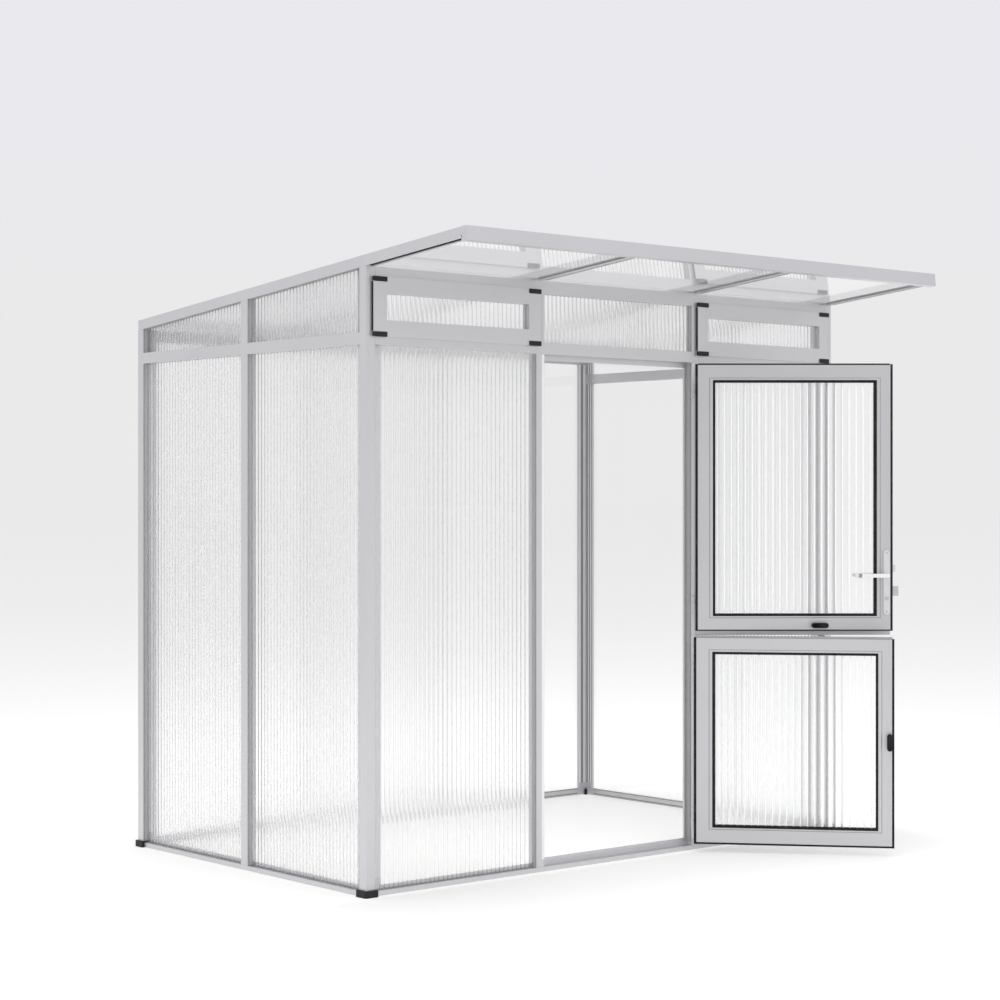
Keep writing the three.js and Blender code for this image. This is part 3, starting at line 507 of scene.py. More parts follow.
def paper(name, tone, glow, near_glow):
    """The studio's pale floor, lit softly from below, more by the house but less right against it."""
    made = Finish(name)
    spot = made.spot()
    fibre = made.noise(spot, 3.0, 4.0)
    reach = made.vector("LENGTH", {0: spot}, "Value")
    # The light that the house adds has halved five metres out
    by_house = 1 / (1 + (reach / 5.0) ** 1.5)
    parts = [made.part(spot, axis) for axis in (0, 1)]
    extents = ((HOUSE_LEFT, HOUSE_RIGHT), (HOUSE_FRONT, HOUSE_REAR))
    beyond = [
        (abs(part - (low + high) / 2) - (high - low) / 2).most(0.0)
        for part, (low, high) in zip(parts, extents)]
    away = (beyond[0] * beyond[0] + beyond[1] * beyond[1]) ** 0.5
    # The shade fades out 0.4 m from the walls, and 1.2 m in front, where it is also darker
    in_front = made.ramp(HOUSE_FRONT - parts[1], 0.0, 0.05) * (1 - made.ramp(beyond[0], 0.0, 0.5))
    faded = made.ramp(away / (0.4 + 0.8 * in_front), 0.0, 1.0)
    shaded = (away > 0.0001) * (1 - faded) * (0.2 + 0.45 * in_front)
    light = made.between(by_house - shaded, (glow,) * 3, (glow + near_glow,) * 3)
    return made.plain(
        Base_Color=made.between(fibre, toned(tone, 0.995), tone), Roughness=0.9, Specular_IOR_Level=0.0,
        Emission_Color=light, Emission_Strength=1.0)


def studio_light(sky, surround):
    """Light from all sides, a little cooler overhead."""
    made = Finish("studio", bpy.data.worlds)
    height = made.part(made.wire("ShaderNodeTexCoord", output="Generated"), 2)
    tone = made.between(made.ramp(height, 0.03, 0.22), surround, sky)
    backing = made.wire("ShaderNodeBackground", {}, {"Color": tone, "Strength": 1.0})
    return made.done(backing, "ShaderNodeOutputWorld")


def finish_called(name):
    material = bpy.data.materials.get(name)
    if material is None:
        raise RuntimeError(f"the finish {name} has not been made yet")
    return material


# Shapes


def turned_outline(corners):
    """The corners in the order that has the outside on the right."""
    area = sum(a[0] * b[1] - b[0] * a[1] for a, b in zip(corners, corners[1:] + corners[:1]))
    return list(corners) if area > 0 else list(reversed(corners))


def corner_steps(corners):
    """For each corner, how far a side that moves out by one metre carries it."""
    steps = []
    for i, here in enumerate(corners):
        before = Vector(here) - Vector(corners[i - 1])
        after = Vector(corners[(i + 1) % len(corners)]) - Vector(here)
        sides = [Vector((side.y, -side.x)).normalized() for side in (before, after)]
        steps.append((sides[0] + sides[1]) / (1 + sides[0].dot(sides[1])))
    return steps


def grown(corners, by):
    corners = turned_outline(corners)
    return [(c[0] + s.x * by, c[1] + s.y * by) for c, s in zip(corners, corner_steps(corners))]


def sides_moved(corners, by):
    """A rectangle with its foot, right side, head and left side each moved outward."""
    (left, foot), (right, head) = corners[0], corners[2]
    return rectangle((left - by[3], foot - by[0]), (right + by[1], head + by[2]))


def stretches_between(start, end, gaps):
    """The stretches that some gaps leave."""
    edges = [start] + [level for gap in gaps for level in gap] + [end]
    return list(zip(edges[::2], edges[1::2]))


def rectangle(low, high):
    return [(low[0], low[1]), (high[0], low[1]), (high[0], high[1]), (low[0], high[1])]


def rounded_outline(corners, radius, steps):
    """An outline of straight sides with every corner rounded."""
    corners = turned_outline(corners)
    path = []
    for i, here in enumerate(corners):
        here = Vector(here)
        back = (Vector(corners[i - 1]) - here).normalized()
        forth = (Vector(corners[(i + 1) % len(corners)]) - here).normalized()
        half = back.angle(forth) / 2
        reach = radius / math.tan(half)
        middle = here + (back + forth).normalized() * (radius / math.sin(half))
        start = here + back * reach - middle
        end = here + forth * reach - middle
        whole = start.angle(end)
        for step in range(steps + 1):
            turn = step / steps
            blend = (start * math.sin((1 - turn) * whole) + end * math.sin(turn * whole)) / math.sin(whole)
            path.append(tuple(middle + blend))
    return path


def circle(centre, radius):
    angles = (2 * math.pi * i / 24 for i in range(24))
    return [(centre[0] + radius * math.cos(a), centre[1] + radius * math.sin(a)) for a in angles]


class Blank:
    """A piece under work, drawn in the (along, up, inward) metres of one plane of the house."""

    def __init__(self, plane):
        self.plane = plane
        self.mesh = bmesh.new()
        self.channels = self.mesh.loops.layers.uv.new("channels")

    def corner(self, place):
        return self.mesh.verts.new(self.plane @ Vector(place))

    def face(self, corners, smooth=False):
        made = self.mesh.faces.new(corners)
        made.smooth = smooth
        return made

    def loft(self, loops, ring=False, smooth=False):
        """Skins a row of closed loops; a ring joins its last loop to its first."""
        rows = [[self.corner(place) for place in loop] for loop in loops]
        pairs = list(zip(rows, rows[1:])) + ([(rows[-1], rows[0])] if ring else [])
        for here, there in pairs:
            for i in range(len(here)):
                j = (i + 1) % len(here)
                self.face([here[i], here[j], there[j], there[i]], smooth)
        if not ring:
            self.face(list(reversed(rows[0])))
            self.face(rows[-1])

    def moulded(self, corners, start, end, edge, turns=3, both=True):
        """An outline run from one depth to another, with its rims rounded."""
        side = 1 if end > start else -1
        quarter = [math.pi / 2 * i / turns for i in range(turns + 1)]
        rim = [(edge * (1 - math.sin(a)), edge * (1 - math.cos(a))) for a in quarter]
        first = [(inset, start + side * rise) for inset, rise in rim] if both else [(0, start)]
        last = [(inset, end - side * rise) for inset, rise in reversed(rim)]
        self.loft([[(*c, depth) for c in grown(corners, -inset)] for inset, depth in first + last], smooth=True)

    def turned(self, centre, profile):
        """A profile of (radius, inward) points turned about an axis that runs inward."""
        self.loft([[(*c, depth) for c in circle(centre, radius)] for radius, depth in profile], smooth=True)

    def fluted(self, corners, outer, inner, pitch, rib, facets=8):
        """A sheet, flat outside and with round ribs inside, between an upright left and right side."""
        left, right = corners[0][0], corners[1][0]
        radius = pitch / 2 / math.sin(rib)
        count = int((right - left) / pitch * facets)
        runs = [i * pitch / facets for i in range(count + 1)]
        if right - left - runs[-1] > pitch / facets / 10:
            runs.append(right - left)
        columns = []
        for run in runs:
            part = run / (right - left)
            low = corners[0][1] + (corners[1][1] - corners[0][1]) * part
            high = corners[3][1] + (corners[2][1] - corners[3][1]) * part
            off = (run / pitch) % 1 * pitch - pitch / 2
            wave = inner - radius + math.sqrt(radius * radius - off * off)
            columns.append([self.corner(place) for place in (
                (left + run, low, outer), (left + run, high, outer),
                (left + run, high, wave), (left + run, low, wave))])
        for i, (a, b) in enumerate(zip(columns, columns[1:])):
            for k, smooth in ((0, False), (1, False), (2, True), (3, False)):
                n = (k + 1) % 4
                made = self.face([a[k], a[n], b[n], b[k]], smooth)
                for loop, run in zip(made.loops, (runs[i], runs[i], runs[i + 1], runs[i + 1])):
                    loop[self.channels].uv = (run / pitch, 0)
        self.face(columns[0])
        self.face(list(reversed(columns[-1])))
        for edge in self.mesh.edges:
            edge.smooth = all(made.smooth for made in edge.link_faces)
        for a in columns[::facets]:
            self.mesh.edges.get((a[2], a[3])).smooth = False

    def rim(self, inside, outside, section):
        """A section of (share of the way out, inward) points carried round between two outlines."""
        self.loft([
            [(i[0] + (o[0] - i[0]) * out, i[1] + (o[1] - i[1]) * out, depth) for out, depth in section]
            for i, o in zip(turned_outline(inside), turned_outline(outside))], ring=True)

    def block(self, low, high):
        """A plain box between two opposite corners."""
        self.loft([[(*c, depth) for c in rectangle(low, high)] for depth in (low[2], high[2])])

    def lining(self, corners, thick, start, end, side):
        """A strip along one side of an opening: 0 is its foot, 1 its right, 2 its head, 3 its left."""
        within = grown(corners, -thick)
        after = (side + 1) % 4
        loop = [corners[side], corners[after], within[after], within[side]]
        self.loft([[(*c, depth) for c in loop] for depth in (start, end)])

    def done(self, name, body, slot, finish, replaces=()):
        """Makes the object, in a finish, and sets it on the body that carries it."""
        bmesh.ops.recalc_face_normals(self.mesh, faces=self.mesh.faces)
        for edge in self.mesh.edges:
            if len(edge.link_faces) == 2 and edge.calc_face_angle(0) > math.radians(40):
                edge.smooth = False
        data = bpy.data.meshes.new(name)
        self.mesh.to_mesh(data)
        self.mesh.free()
        data.materials.append(finish_called(finish))
        made = bpy.data.objects.new(name, data)
        bpy.context.scene.collection.objects.link(made)
        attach(made, body)
        if replaces:
            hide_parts(*replaces)


def flat_places(node, plane):
    """A node's corners in a plane's own coordinates."""
    back = plane.inverted()
    return [back @ corner.co for corner in frame["nodes"][node].data.vertices]


def flat_box(node, plane):
    """A node's lowest and highest corner in a plane's own coordinates."""
    places = flat_places(node, plane)
    return [Vector([pick(p[i] for p in places) for i in range(3)]) for pick in (min, max)]


def sheet_corners(node, plane):
    """A sheet's four corners: low left, low right, high right, high left."""
    places = flat_places(node, plane)
    low, high = flat_box(node, plane)
    top_left = max(p[1] for p in places if p[0] < low[0] + NEAR)
    top_right = max(p[1] for p in places if p[0] > high[0] - NEAR)
    return [(low[0], low[1]), (high[0], low[1]), (high[0], top_right), (low[0], top_left)], (low[2], high[2])


# What several operators share


def finish_nodes(nodes, finish):
    """Sets a finish on solids of the frame."""
    for node in nodes:
        for slot in frame["nodes"][node].material_slots:
            slot.material = finish_called(finish)


def flute(node, plane, body, finish, skin, pitch, rib):
    """Makes a ribbed sheet in a flat one's place, thinner by a skin on each face."""
    corners, (outer, inner) = sheet_corners(node, plane)
    blank = Blank(plane)
    blank.fluted(corners, outer + skin, inner - skin, pitch, rib)
    blank.done(f"fluted_{node}", body, "ribbed_sheet", finish, [node])


def mouldings(name, plane, body, slot, finish, pieces):
    """Makes blocks of one finish: (along, up) corners, depths, and the radius of the rims."""
    blank = Blank(plane)
    for low, high, depths, edge in pieces:
        blank.moulded(rectangle(low, high), *depths, edge)
    blank.done(name, body, slot, finish)


def on_face(depth):
    """Depths of a thin strip that lies on a bar's face."""
    return depth - 0.0004, depth + 0.0002


def lever_axis():
    """Where the lever's spindle runs through the upper leaf."""
    low, high = flat_box("lever_handle", UPPER_LEAF)
    return low[0] + 0.009, (low[1] + high[1]) / 2


# Operators: one for each piece or group of like pieces


class GREENHOUSE_OT_finishes(bpy.types.Operator):
    """Makes the finishes that the fittings share"""

    bl_idname = "greenhouse.finishes"
    bl_label = "Shared finishes"

    def execute(self, context):
        fittings = context.scene.greenhouse_fittings
        seals = context.scene.greenhouse_seals
        moulded_black("moulded_black", fittings.black_tone)
        moulded_black("cap_grey", seals.grey_rubber)
        rubber("seal_rubber", seals.rubber)
        rubber("groove_shade", seals.groove)
        rubber("line_shade", seals.line)
        rubber("fine_line", seals.fine_line)
        # Painted light: a light satin tone for strips on shaded faces of the posts
        satin("capping", fittings.capping, 0.4, 0.1)
        satin("satin_nickel", fittings.satin_tone, 0.28, 0.3)
        satin("plate_nickel", fittings.plate_tone, 0.34, 0.7)
        satin("plated_steel", fittings.bolt_tone, 0.36, 0.9)
        return {"FINISHED"}


class GREENHOUSE_OT_bars(bpy.types.Operator):
    """Finishes the aluminium bars with grain that runs along each bar"""

    bl_idname = "greenhouse.bars"
    bl_label = "Aluminium bars"

    def execute(self, context):
        bars = context.scene.greenhouse_bars
        groups = {
            "upright_bars": (UPRIGHT_BARS, straight_grain(UP), 1),
            "front_bars": (FRONT_BARS, straight_grain(RIGHTWARD), 1),
            "gable_bars": (GABLE_BARS, straight_grain(REARWARD), 1),
            "sloping_bars": (RAFTERS, straight_grain(ROOF.col[1].to_3d()), 1),
        }
        rail = Vector((LEAF_RAIL, LEAF_RAIL))
        for name, (plane, _, sheet) in LEAVES.items():
            low, high = flat_box(sheet, plane)
            grain = framed_grain(plane, low.to_2d() - rail, high.to_2d() + rail)
            groups[f"{name}_leaf_bars"] = ([f"{name}_leaf_frame"], grain, LEAF_TONES[name])
        for name, (nodes, grain, kept) in groups.items():
            metal(name, toned(bars.light_tone, kept), toned(bars.dark_tone, kept), bars.roughness, grain)
            finish_nodes(nodes, name)
        return {"FINISHED"}


class GREENHOUSE_OT_black_pieces(bpy.types.Operator):
    """Finishes the corner feet in moulded black"""

    bl_idname = "greenhouse.black_pieces"
    bl_label = "Corner feet"

    def execute(self, context):
        finish_nodes(FEET, "moulded_black")
        return {"FINISHED"}


class GREENHOUSE_OT_roof_glazing(bpy.types.Operator):
    """Finishes the clear panes of the roof"""

    bl_idname = "greenhouse.roof_glazing"
    bl_label = "Roof panes"

    def execute(self, context):
        clear_pane("roof_pane", ROOF.col[1].to_3d(), (0.965, 0.968, 0.972), 1.38)
        finish_nodes(ROOF_PANES, "roof_pane")
        return {"FINISHED"}


class GREENHOUSE_OT_wall_sheets(bpy.types.Operator):
    """Makes the ribbed sheets of the front and the left gable and finishes the flat ones"""

    bl_idname = "greenhouse.wall_sheets"
    bl_label = "Wall sheets"

    def execute(self, context):
        sheets = context.scene.greenhouse_sheets
        tints = {
            "wall_sheet": sheets.tint, "over_door_sheet": sheets.upper_tint,
            "gable_top_sheet": sheets.gable_top_tint}
        for name, tint in tints.items():
            ribbed_sheet(name, tint, sheets.web_tone, 0.06, 0.12)
        for node, plane in RIBBED_SHEETS.items():
            look = "gable_top" if "upper" in node else "over_door" if "door" in node else "wall"
            flute(node, plane, "house", f"{look}_sheet", 0.0004, sheets.wall_pitch, sheets.wall_rib)
        clear_pane("flat_sheet", UP, (0.985, 0.987, 0.989), 1.49)
        finish_nodes(FLAT_SHEETS, "flat_sheet")
        return {"FINISHED"}


class GREENHOUSE_OT_glazing_linings(bpy.types.Operator):
    """Makes the grey linings that hold the wall sheets at the right, the foot and the head; their tones are
    partly the linings' own grey and partly painted shade in the bars' reveals beside the sheets
    """

    bl_idname = "greenhouse.glazing_linings"
    bl_label = "Glazing linings"

    def execute(self, context):
        thick = context.scene.greenhouse_seals.lining
        for node, plane in {**RIBBED_SHEETS, **FLAT_SHEETS}.items():
            corners, (sheet, _) = sheet_corners(node, plane)
            opening = grown(corners, -WALL_GROOVE)
            half_way, back = sheet / 2, sheet + 0.0003
            head = [(half_way, back, 2)] if "upper" in node else []
            # Darker at the front of the reveal and darkest at the foot: partly the linings' grey, partly
            # painted shade
            for kind, finish, strips in (
                    ("lining", "line_shade", [(0.0006, half_way, 1)] + head),
                    ("inner_lining", "fine_line", [(half_way, back, 1)]),
                    ("foot_lining", "groove_shade", [(sheet - 0.0032, back, 0)])):
                blank = Blank(plane)
                for start, end, side in strips:
                    blank.lining(opening, thick, start, end, side)
                blank.done(f"{node}_{kind}", "house", "black_plastic", finish)
        return {"FINISHED"}


class GREENHOUSE_OT_channel_lines(bpy.types.Operator):
    """Makes the painted shade in the channels of the posts and sills, strips of painted light on the posts, and
    the joint lines
    """

    bl_idname = "greenhouse.channel_lines"
    bl_label = "Channels"

    def execute(self, context):
        self.rear_corner_posts()
        self.leg_backs()
        self.sills()
        self.door_posts()
        self.joints()
        return {"FINISHED"}

    def strips(self, name, plane, finish, places, depths):
        """Thin strips on a bar, each between (along, up) corners."""
        pieces = [(low, high, depths, 0.0001) for low, high in places]
        mouldings(name, plane, "house", "aluminium", finish, pieces)

    def rear_corner_posts(self):
        """Strips of painted light and bands of painted shade in the channels run up the inner faces of each
        leg.
        """
        eave = flat_box("rear_eave_beam", REAR)[0][1] - 0.001
        for side, inward, gable in (("right", -1, RIGHT_GABLE), ("left", 1, LEFT_GABLE)):
            node = f"rear_{side}_post"
            low, high = flat_box(node, REAR)
            foot = low[1] + SILL_TOP
            outside = high[0] if side == "right" else low[0]
            inner = outside + inward * POST_WIDE
            self.leg(f"{node}_wall", REAR, inner, inward, WALL_LEG_BANDS, [(foot, eave)])
            inner = flat_box(node, gable)[1][0] - POST_WIDE
            transom = flat_box(f"{side}_gable_transom", gable)
            stretches = [(foot, transom[0][1] - 0.001), (transom[1][1] + 0.001, eave)]
            self.leg(f"{node}_gable", gable, inner, -1, GABLE_LEG_BANDS, stretches)

    def leg(self, name, plane, inner, side, bands, stretches):
        for finish, widths in bands.items():
            places = []
            for band in widths:
                left, right = sorted(inner + side * edge for edge in band)
                places += [((left, foot), (right, head)) for foot, head in stretches]
            self.strips(f"{name}_{finish}", plane, finish, places, on_face(POST_WIDE))

    def leg_backs(self):
        """Strips of painted light on the corner posts' legs, behind the sheets."""
        for end, wall in (("front", FRONT), ("rear", REAR)):
            for side, gable in (("left", LEFT_GABLE), ("right", RIGHT_GABLE)):
                node = f"{end}_{side}_post"
                for which, plane in (("wall", wall), ("gable", gable)):
                    low, high = flat_box(node, plane)
                    far, back = (high[0], -1) if low[0] < NEAR else (low[0], 1)
                    leg = [p for p in flat_places(node, plane) if abs(p[0] - far) < NEAR and p[1] < 1.0]
                    left, right = sorted(far + back * reach for reach in (0.0005, 0.0380))
                    places = [((left, low[1] + 0.036), (right, TRANSOM_FOOT))]
                    outer = min(p[2] for p in leg)
                    self.strips(f"{node}_{which}_leg_capping", plane, "capping", places, on_face(outer))

    def sills(self):
        """Painted shade in the grooves under the top of each sill's back and near its foot."""
        for node, plane in (("rear_sill", REAR), ("left_sill", LEFT_GABLE), ("right_sill", RIGHT_GABLE)):
            low, high = flat_box(node, plane)
            left, right = low[0] + 0.045, high[0] - 0.045
            places = [
                ((left, high[1] - 0.0040), (right, high[1] - 0.0006)),
                ((left, low[1] + 0.0050), (right, low[1] + 0.0105))]
            self.strips(f"{node}_channels", plane, "groove_shade", places, on_face(high[2]))

    def door_posts(self):
        """Dark lines and painted shade on the inner sides run down each door post, clear of the strikes, and a
        strip of painted light down each post's front.
        """
        for node, side, edge, gaps in (
                ("right_door_post", 1, DOOR_RIGHT, ()), ("left_door_post", -1, DOOR_LEFT, STRIKES)):
            clear = stretches_between(SILL_TOP, TRANSOM_FOOT, gaps)
            for kind, finish, across, levels, depths in (
                    ("edge_line", "groove_shade", (-0.0004, 0.0006), clear, (0.0050, 0.0115)),
                    ("inner_side", "line_shade", (-0.0004, 0.0006), clear, (0.0125, 0.0305)),
                    ("front_capping", "capping", (0.0004, 0.0130), [(0.050, TRANSOM_FOOT)], on_face(0.0002))):
                left, right = sorted(edge + side * out for out in across)
                places = [((left, foot), (right, head)) for foot, head in levels]
                self.strips(f"{node}_{kind}", FRONT, finish, places, depths)

    def joints(self):
        """Fine lines where the header and the transom meet the corner posts."""
        foot = flat_box("front_transom", FRONT)[0][1]
        head = flat_box("front_header", FRONT)[1][1]
        places = [
            ((along - 0.0004, foot), (along + 0.0005, head - 0.001))
            for along in (POST_WIDE, HOUSE_RIGHT - HOUSE_LEFT - POST_WIDE)]
        self.strips("front_joint_lines", FRONT, "groove_shade", places, on_face(0.0002))


class GREENHOUSE_OT_end_caps(bpy.types.Operator):
    """Makes the caps in the fascia's and rafters' open ends, and three lines at a rafter's head"""

    bl_idname = "greenhouse.end_caps"
    bl_label = "End caps"

    def execute(self, context):
        low, high = flat_box("canopy_fascia", ROOF)
        wall = Vector((BAR_WALL,) * 3)
        caps = Blank(ROOF)
        for end, inward in ((low[0], 1), (high[0], -1)):
            caps.block((end + inward * 0.0001, *(low + wall)[1:]), (end + inward * 0.0030, *(high - wall)[1:]))
        caps.done("fascia_end_caps", "house", "aluminium", "front_bars")
        caps = Blank(ROOF)
        for node in RAFTERS:
            low, high = flat_box(node, ROOF)
            start = max(p[1] for p in flat_places(node, ROOF) if p[1] < low[1] + 0.006)
            caps.block(
                (low[0] + BAR_WALL, start + 0.0005, low[2] + BAR_WALL),
                (high[0] - BAR_WALL, start + 0.0040, high[2] - BAR_WALL))
        caps.done("rafter_end_caps", "house", "aluminium", "sloping_bars")
        self.rafter_head_lines()
        return {"FINISHED"}

    def rafter_head_lines(self):
        """Three fine lines across the head of the right middle rafter, behind the fascia."""
        low, high = flat_box("right_mid_rafter", ROOF)
        lines = Blank(ROOF)
        for part in (0.16, 0.40, 0.78):
            level = low[2] + (high[2] - low[2]) * part
            lines.block(
                (low[0] + 0.001, high[1] - 0.0004, level), (high[0] - 0.001, high[1] + 0.0002, level + 0.0011))
        lines.done("fascia_front_lines", "house", "aluminium", "fine_line")


class GREENHOUSE_OT_rafter_lines(bpy.types.Operator):
    """Makes the painted shade on the rafters' sides under the canopy, and their dark seals and lines"""

    bl_idname = "greenhouse.rafter_lines"
    bl_label = "Rafter lines"

    def execute(self, context):
        header = ROOF.inverted() @ Vector((HOUSE_LEFT, HOUSE_FRONT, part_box("canopy_fascia")[1].z))
        pane = flat_box("left_roof_pane", ROOF)[1][2]
        for node in RAFTERS:
            low, high = flat_box(node, ROOF)
            ends = header[1] + 0.004, high[1]
            foot = high[2]
            if node == "left_verge_rafter":
                self.runs(f"{node}_under", "black_plastic", "seal_rubber", ends, [
                    ((low[0] + 0.001, low[0] + 0.019), (foot - 0.0002, foot + 0.0004))])
                continue
            faces = (low[0], 1), (high[0], -1)
            # Painted shade: grey strips over both side faces, which lie in shade under the canopy
            self.runs(f"{node}_sides", "aluminium", "line_shade", ends, [
                ((edge - out * 0.0003, edge + out * 0.0003), (pane + 0.0045, foot - 0.0004))
                for edge, out in faces])
            seals = [
                ((edge - out * 0.0006, edge + out * 0.0003), (pane + 0.0002, pane + 0.0045))
                for edge, out in faces]
            line = (high[0] - 0.0070, high[0] - 0.0050), (foot - 0.0002, foot + 0.0003)
            self.runs(f"{node}_lines", "aluminium", "groove_shade", ends, seals + [line])
        return {"FINISHED"}

    def runs(self, name, slot, finish, ends, sections):
        """Strips that run up the slope, each with an (along, inward) section."""
        blank = Blank(ROOF)
        for across, down in sections:
            blank.block((across[0], ends[0], down[0]), (across[1], ends[1], down[1]))
        blank.done(name, "house", slot, finish)


class GREENHOUSE_OT_vent_fittings(bpy.types.Operator):
    """Makes the vents' fluted panes, black corner pieces and side seals"""

    bl_idname = "greenhouse.vent_fittings"
    bl_label = "Vents"

    def execute(self, context):
        sheets = context.scene.greenhouse_sheets
        for body in ("left_vent", "right_vent"):
            flute(f"{body}_pane", FRONT, body, "over_door_sheet", 0.0003, sheets.wall_pitch, sheets.wall_rib)
            low, high = flat_box(f"{body}_sash", FRONT)
            self.corner_pieces(body, low, high)
            depths = low[2] + 0.0105, low[2] + 0.0025
            mouldings(f"{body}_side_seals", FRONT, body, "black_plastic", "seal_rubber", [
                ((edge, low[1] + 0.0185), (edge + out * 0.0012, high[1] - 0.0185), depths, 0.0004)
                for edge, out in ((low[0], -1), (high[0], 1))])
        return {"FINISHED"}

    def corner_pieces(self, body, low, high):
        blank = Blank(FRONT)
        wide, tall, proud = 0.0624, 0.0184, 0.0004
        for start in (low[0] - proud, high[0] + proud - wide):
            for base in (high[1] + proud - tall, low[1] - proud):
                outline = rounded_outline(rectangle((start, base), (start + wide, base + tall)), 0.0025, 4)
                blank.moulded(outline, low[2] + 0.0095, low[2] - 0.0006, 0.0012, both=False)
        blank.done(f"{body}_corner_pieces", body, "black_plastic", "moulded_black")


class GREENHOUSE_OT_door_sheets(bpy.types.Operator):
    """Makes the fluted sheets of the two door leaves"""

    bl_idname = "greenhouse.door_sheets"
    bl_label = "Door sheets"

    def execute(self, context):
        sheets = context.scene.greenhouse_sheets
        ribbed_sheet("door_sheet", sheets.tint, sheets.web_tone, 0.12, 0.65)
        for plane, body, node in LEAVES.values():
            flute(node, plane, body, "door_sheet", 0.0004, sheets.door_pitch, sheets.door_rib)
        return {"FINISHED"}


class GREENHOUSE_OT_leaf_trim(bpy.types.Operator):
    """Makes the gaskets, beads, grooves and edge seals of the door leaves"""

    bl_idname = "greenhouse.leaf_trim"
    bl_label = "Leaf trim"

    def execute(self, context):
        gasket_width = context.scene.greenhouse_seals.gasket_width
        for name, (plane, body, node) in LEAVES.items():
            corners, depths = sheet_corners(node, plane)
            sight = sides_moved(grown(corners, -LEAF_GROOVE), [-side for side in SIGHT_MARGINS[name]])
            ring = grown(sight, gasket_width)
            bead = sides_moved(ring, BEAD_WIDTHS)
            for kind, outlines, section, slot, finish in (
                    ("gaskets", (sight, ring), GASKET, "black_plastic", "seal_rubber"),
                    ("beads", (ring, bead), BEAD, "aluminium", f"{name}_leaf_bars"),
                    ("groove_lines", (bead, grown(bead, 0.0022)), GROOVE_LINE,
                     "black_plastic", "groove_shade")):
                blank = Blank(plane)
                for face, sheet, out in ((LEAF_THICK, depths[1], 1), (0, depths[0], -1)):
                    levels = {"face": face, "sheet": sheet}
                    blank.rim(*outlines, [(part, levels[level] + out * rise) for part, level, rise in section])
                blank.done(f"{name}_leaf_{kind}", body, slot, finish)
            self.edge_seals(name, plane, body, grown(corners, LEAF_RAIL))
        self.lower_top_rail()
        return {"FINISHED"}

    def edge_seals(self, name, plane, body, rim):
        """Seals beyond the leaf's lock side, hinge side and foot, and over the upper leaf's head."""
        (left, foot), (right, head) = rim[0], rim[2]
        foot_seal = foot - SEAL_DROPS[name]
        pieces = [
            ((left - 0.0076, foot_seal), (left + 0.0016, head - 0.001), (0.0245, 0.0289), 0.0008),
            ((right - 0.0055, foot_seal), (right + 0.0050, head - 0.001), (0.0279, 0.0295), 0.0006),
            ((left + 0.001, foot_seal), (right - 0.001, foot + 0.0006), (0.0195, 0.0287), 0.0008)]
        if name == "upper":
            pieces.append(
                ((left + 0.004, head - 0.0045), (right - 0.006, head + 0.0015), (0.0250, 0.0288), 0.0006))
        mouldings(f"{name}_leaf_edge_seals", plane, body, "black_plastic", "seal_rubber", pieces)

    def lower_top_rail(self):
        """The lower leaf's grey upstand behind the upper leaf's cover strip, and the line below it."""
        top = flat_box("lower_leaf_frame", LOWER_LEAF)[1][1]
        left, right = DOOR_LEFT + LEAF_GAP, DOOR_RIGHT - LEAF_GAP
        mouldings("lower_leaf_upstand", LOWER_LEAF, "lower_leaf", "black_plastic", "cap_grey", [
            ((left + 0.0002, top - 0.001), (right - 0.0002, top + 0.0065), (0.0175, 0.0282), 0.0006)])
        mouldings("lower_leaf_rail_line", LOWER_LEAF, "lower_leaf", "black_plastic", "groove_shade", [
            ((left, top - 0.0035), (right, top - 0.0005), (0.0278, 0.0284), 0.0001)])


class GREENHOUSE_OT_lever(bpy.types.Operator):
    """Makes the lever handle with its two arms, and a band of painted shade near the tip of each"""

    bl_idname = "greenhouse.lever"
    bl_label = "Lever handle"

    def execute(self, context):
        low, high = flat_box("lever_handle", UPPER_LEAF)
        pivot, level = lever_axis()
        tip = high[0] - 0.010
        lever, tip_shades = Blank(UPPER_LEAF), Blank(UPPER_LEAF)
        for face, out in ((high[2], -1), (low[2], 1)):
            self.arm(lever, pivot, tip, level, face, out)
            # Painted shade: a dark band near each arm's tip, where the arm turns back to the leaf
            tip_shades.loft([
                self.section((along, level, face + out * 0.0055), (0, out), 0.0079, 0.00545)
                for along in (tip - 0.0235, tip - 0.0115)])
        spindle = low[2] + 0.004, -0.010, 0.038, high[2] - 0.004
        lever.turned((pivot, level), [(0.0088, depth) for depth in spindle])
        lever.done("lever_handle_detailed", "lever", "satin_metal", "satin_nickel", ["lever_handle"])
        tip_shades.done("lever_tip_shade", "lever", "satin_metal", "groove_shade")
        return {"FINISHED"}

    def arm(self, blank, pivot, tip, level, face, out):
        """A rounded arm that runs from the pivot to the tip and turns back to the leaf."""
        half_thick, half_high, bend = 0.0055, 0.008, 0.006
        end = tip - half_thick
        # Where its sections stand: along, from the face, turned by, share of its height and thickness
        stations = [
            (pivot - 0.006, half_thick, 0, 0.86, 0.86), (pivot, half_thick, 0, 1, 1),
            (end - bend, half_thick, 0, 0.92, 0.92)]
        for turn in (math.pi / 2 * i / 6 for i in range(1, 7)):
            along = end - bend + bend * math.sin(turn)
            stations.append((along, half_thick + bend * (1 - math.cos(turn)), turn, 0.92, 0.92))
        stations += [(end, 0.0245, math.pi / 2, 0.9, 0.9), (end, 0.0259, math.pi / 2, 0.72, 0.7)]
        blank.loft([
            self.section(
                (along, level, face + out * depth), (math.sin(turn), out * math.cos(turn)),
                half_high * high, half_thick * thick)
            for along, depth, turn, high, thick in stations], smooth=True)

    def section(self, middle, across, half_high, half_thick):
        """A rounded rectangle square to the arm's path."""
        corners = rectangle((-half_thick, -half_high), (half_thick, half_high))
        points = rounded_outline(corners, half_thick * 0.6, 4)
        return [(middle[0] + p[0] * across[0], middle[1] + p[1], middle[2] + p[0] * across[1]) for p in points]


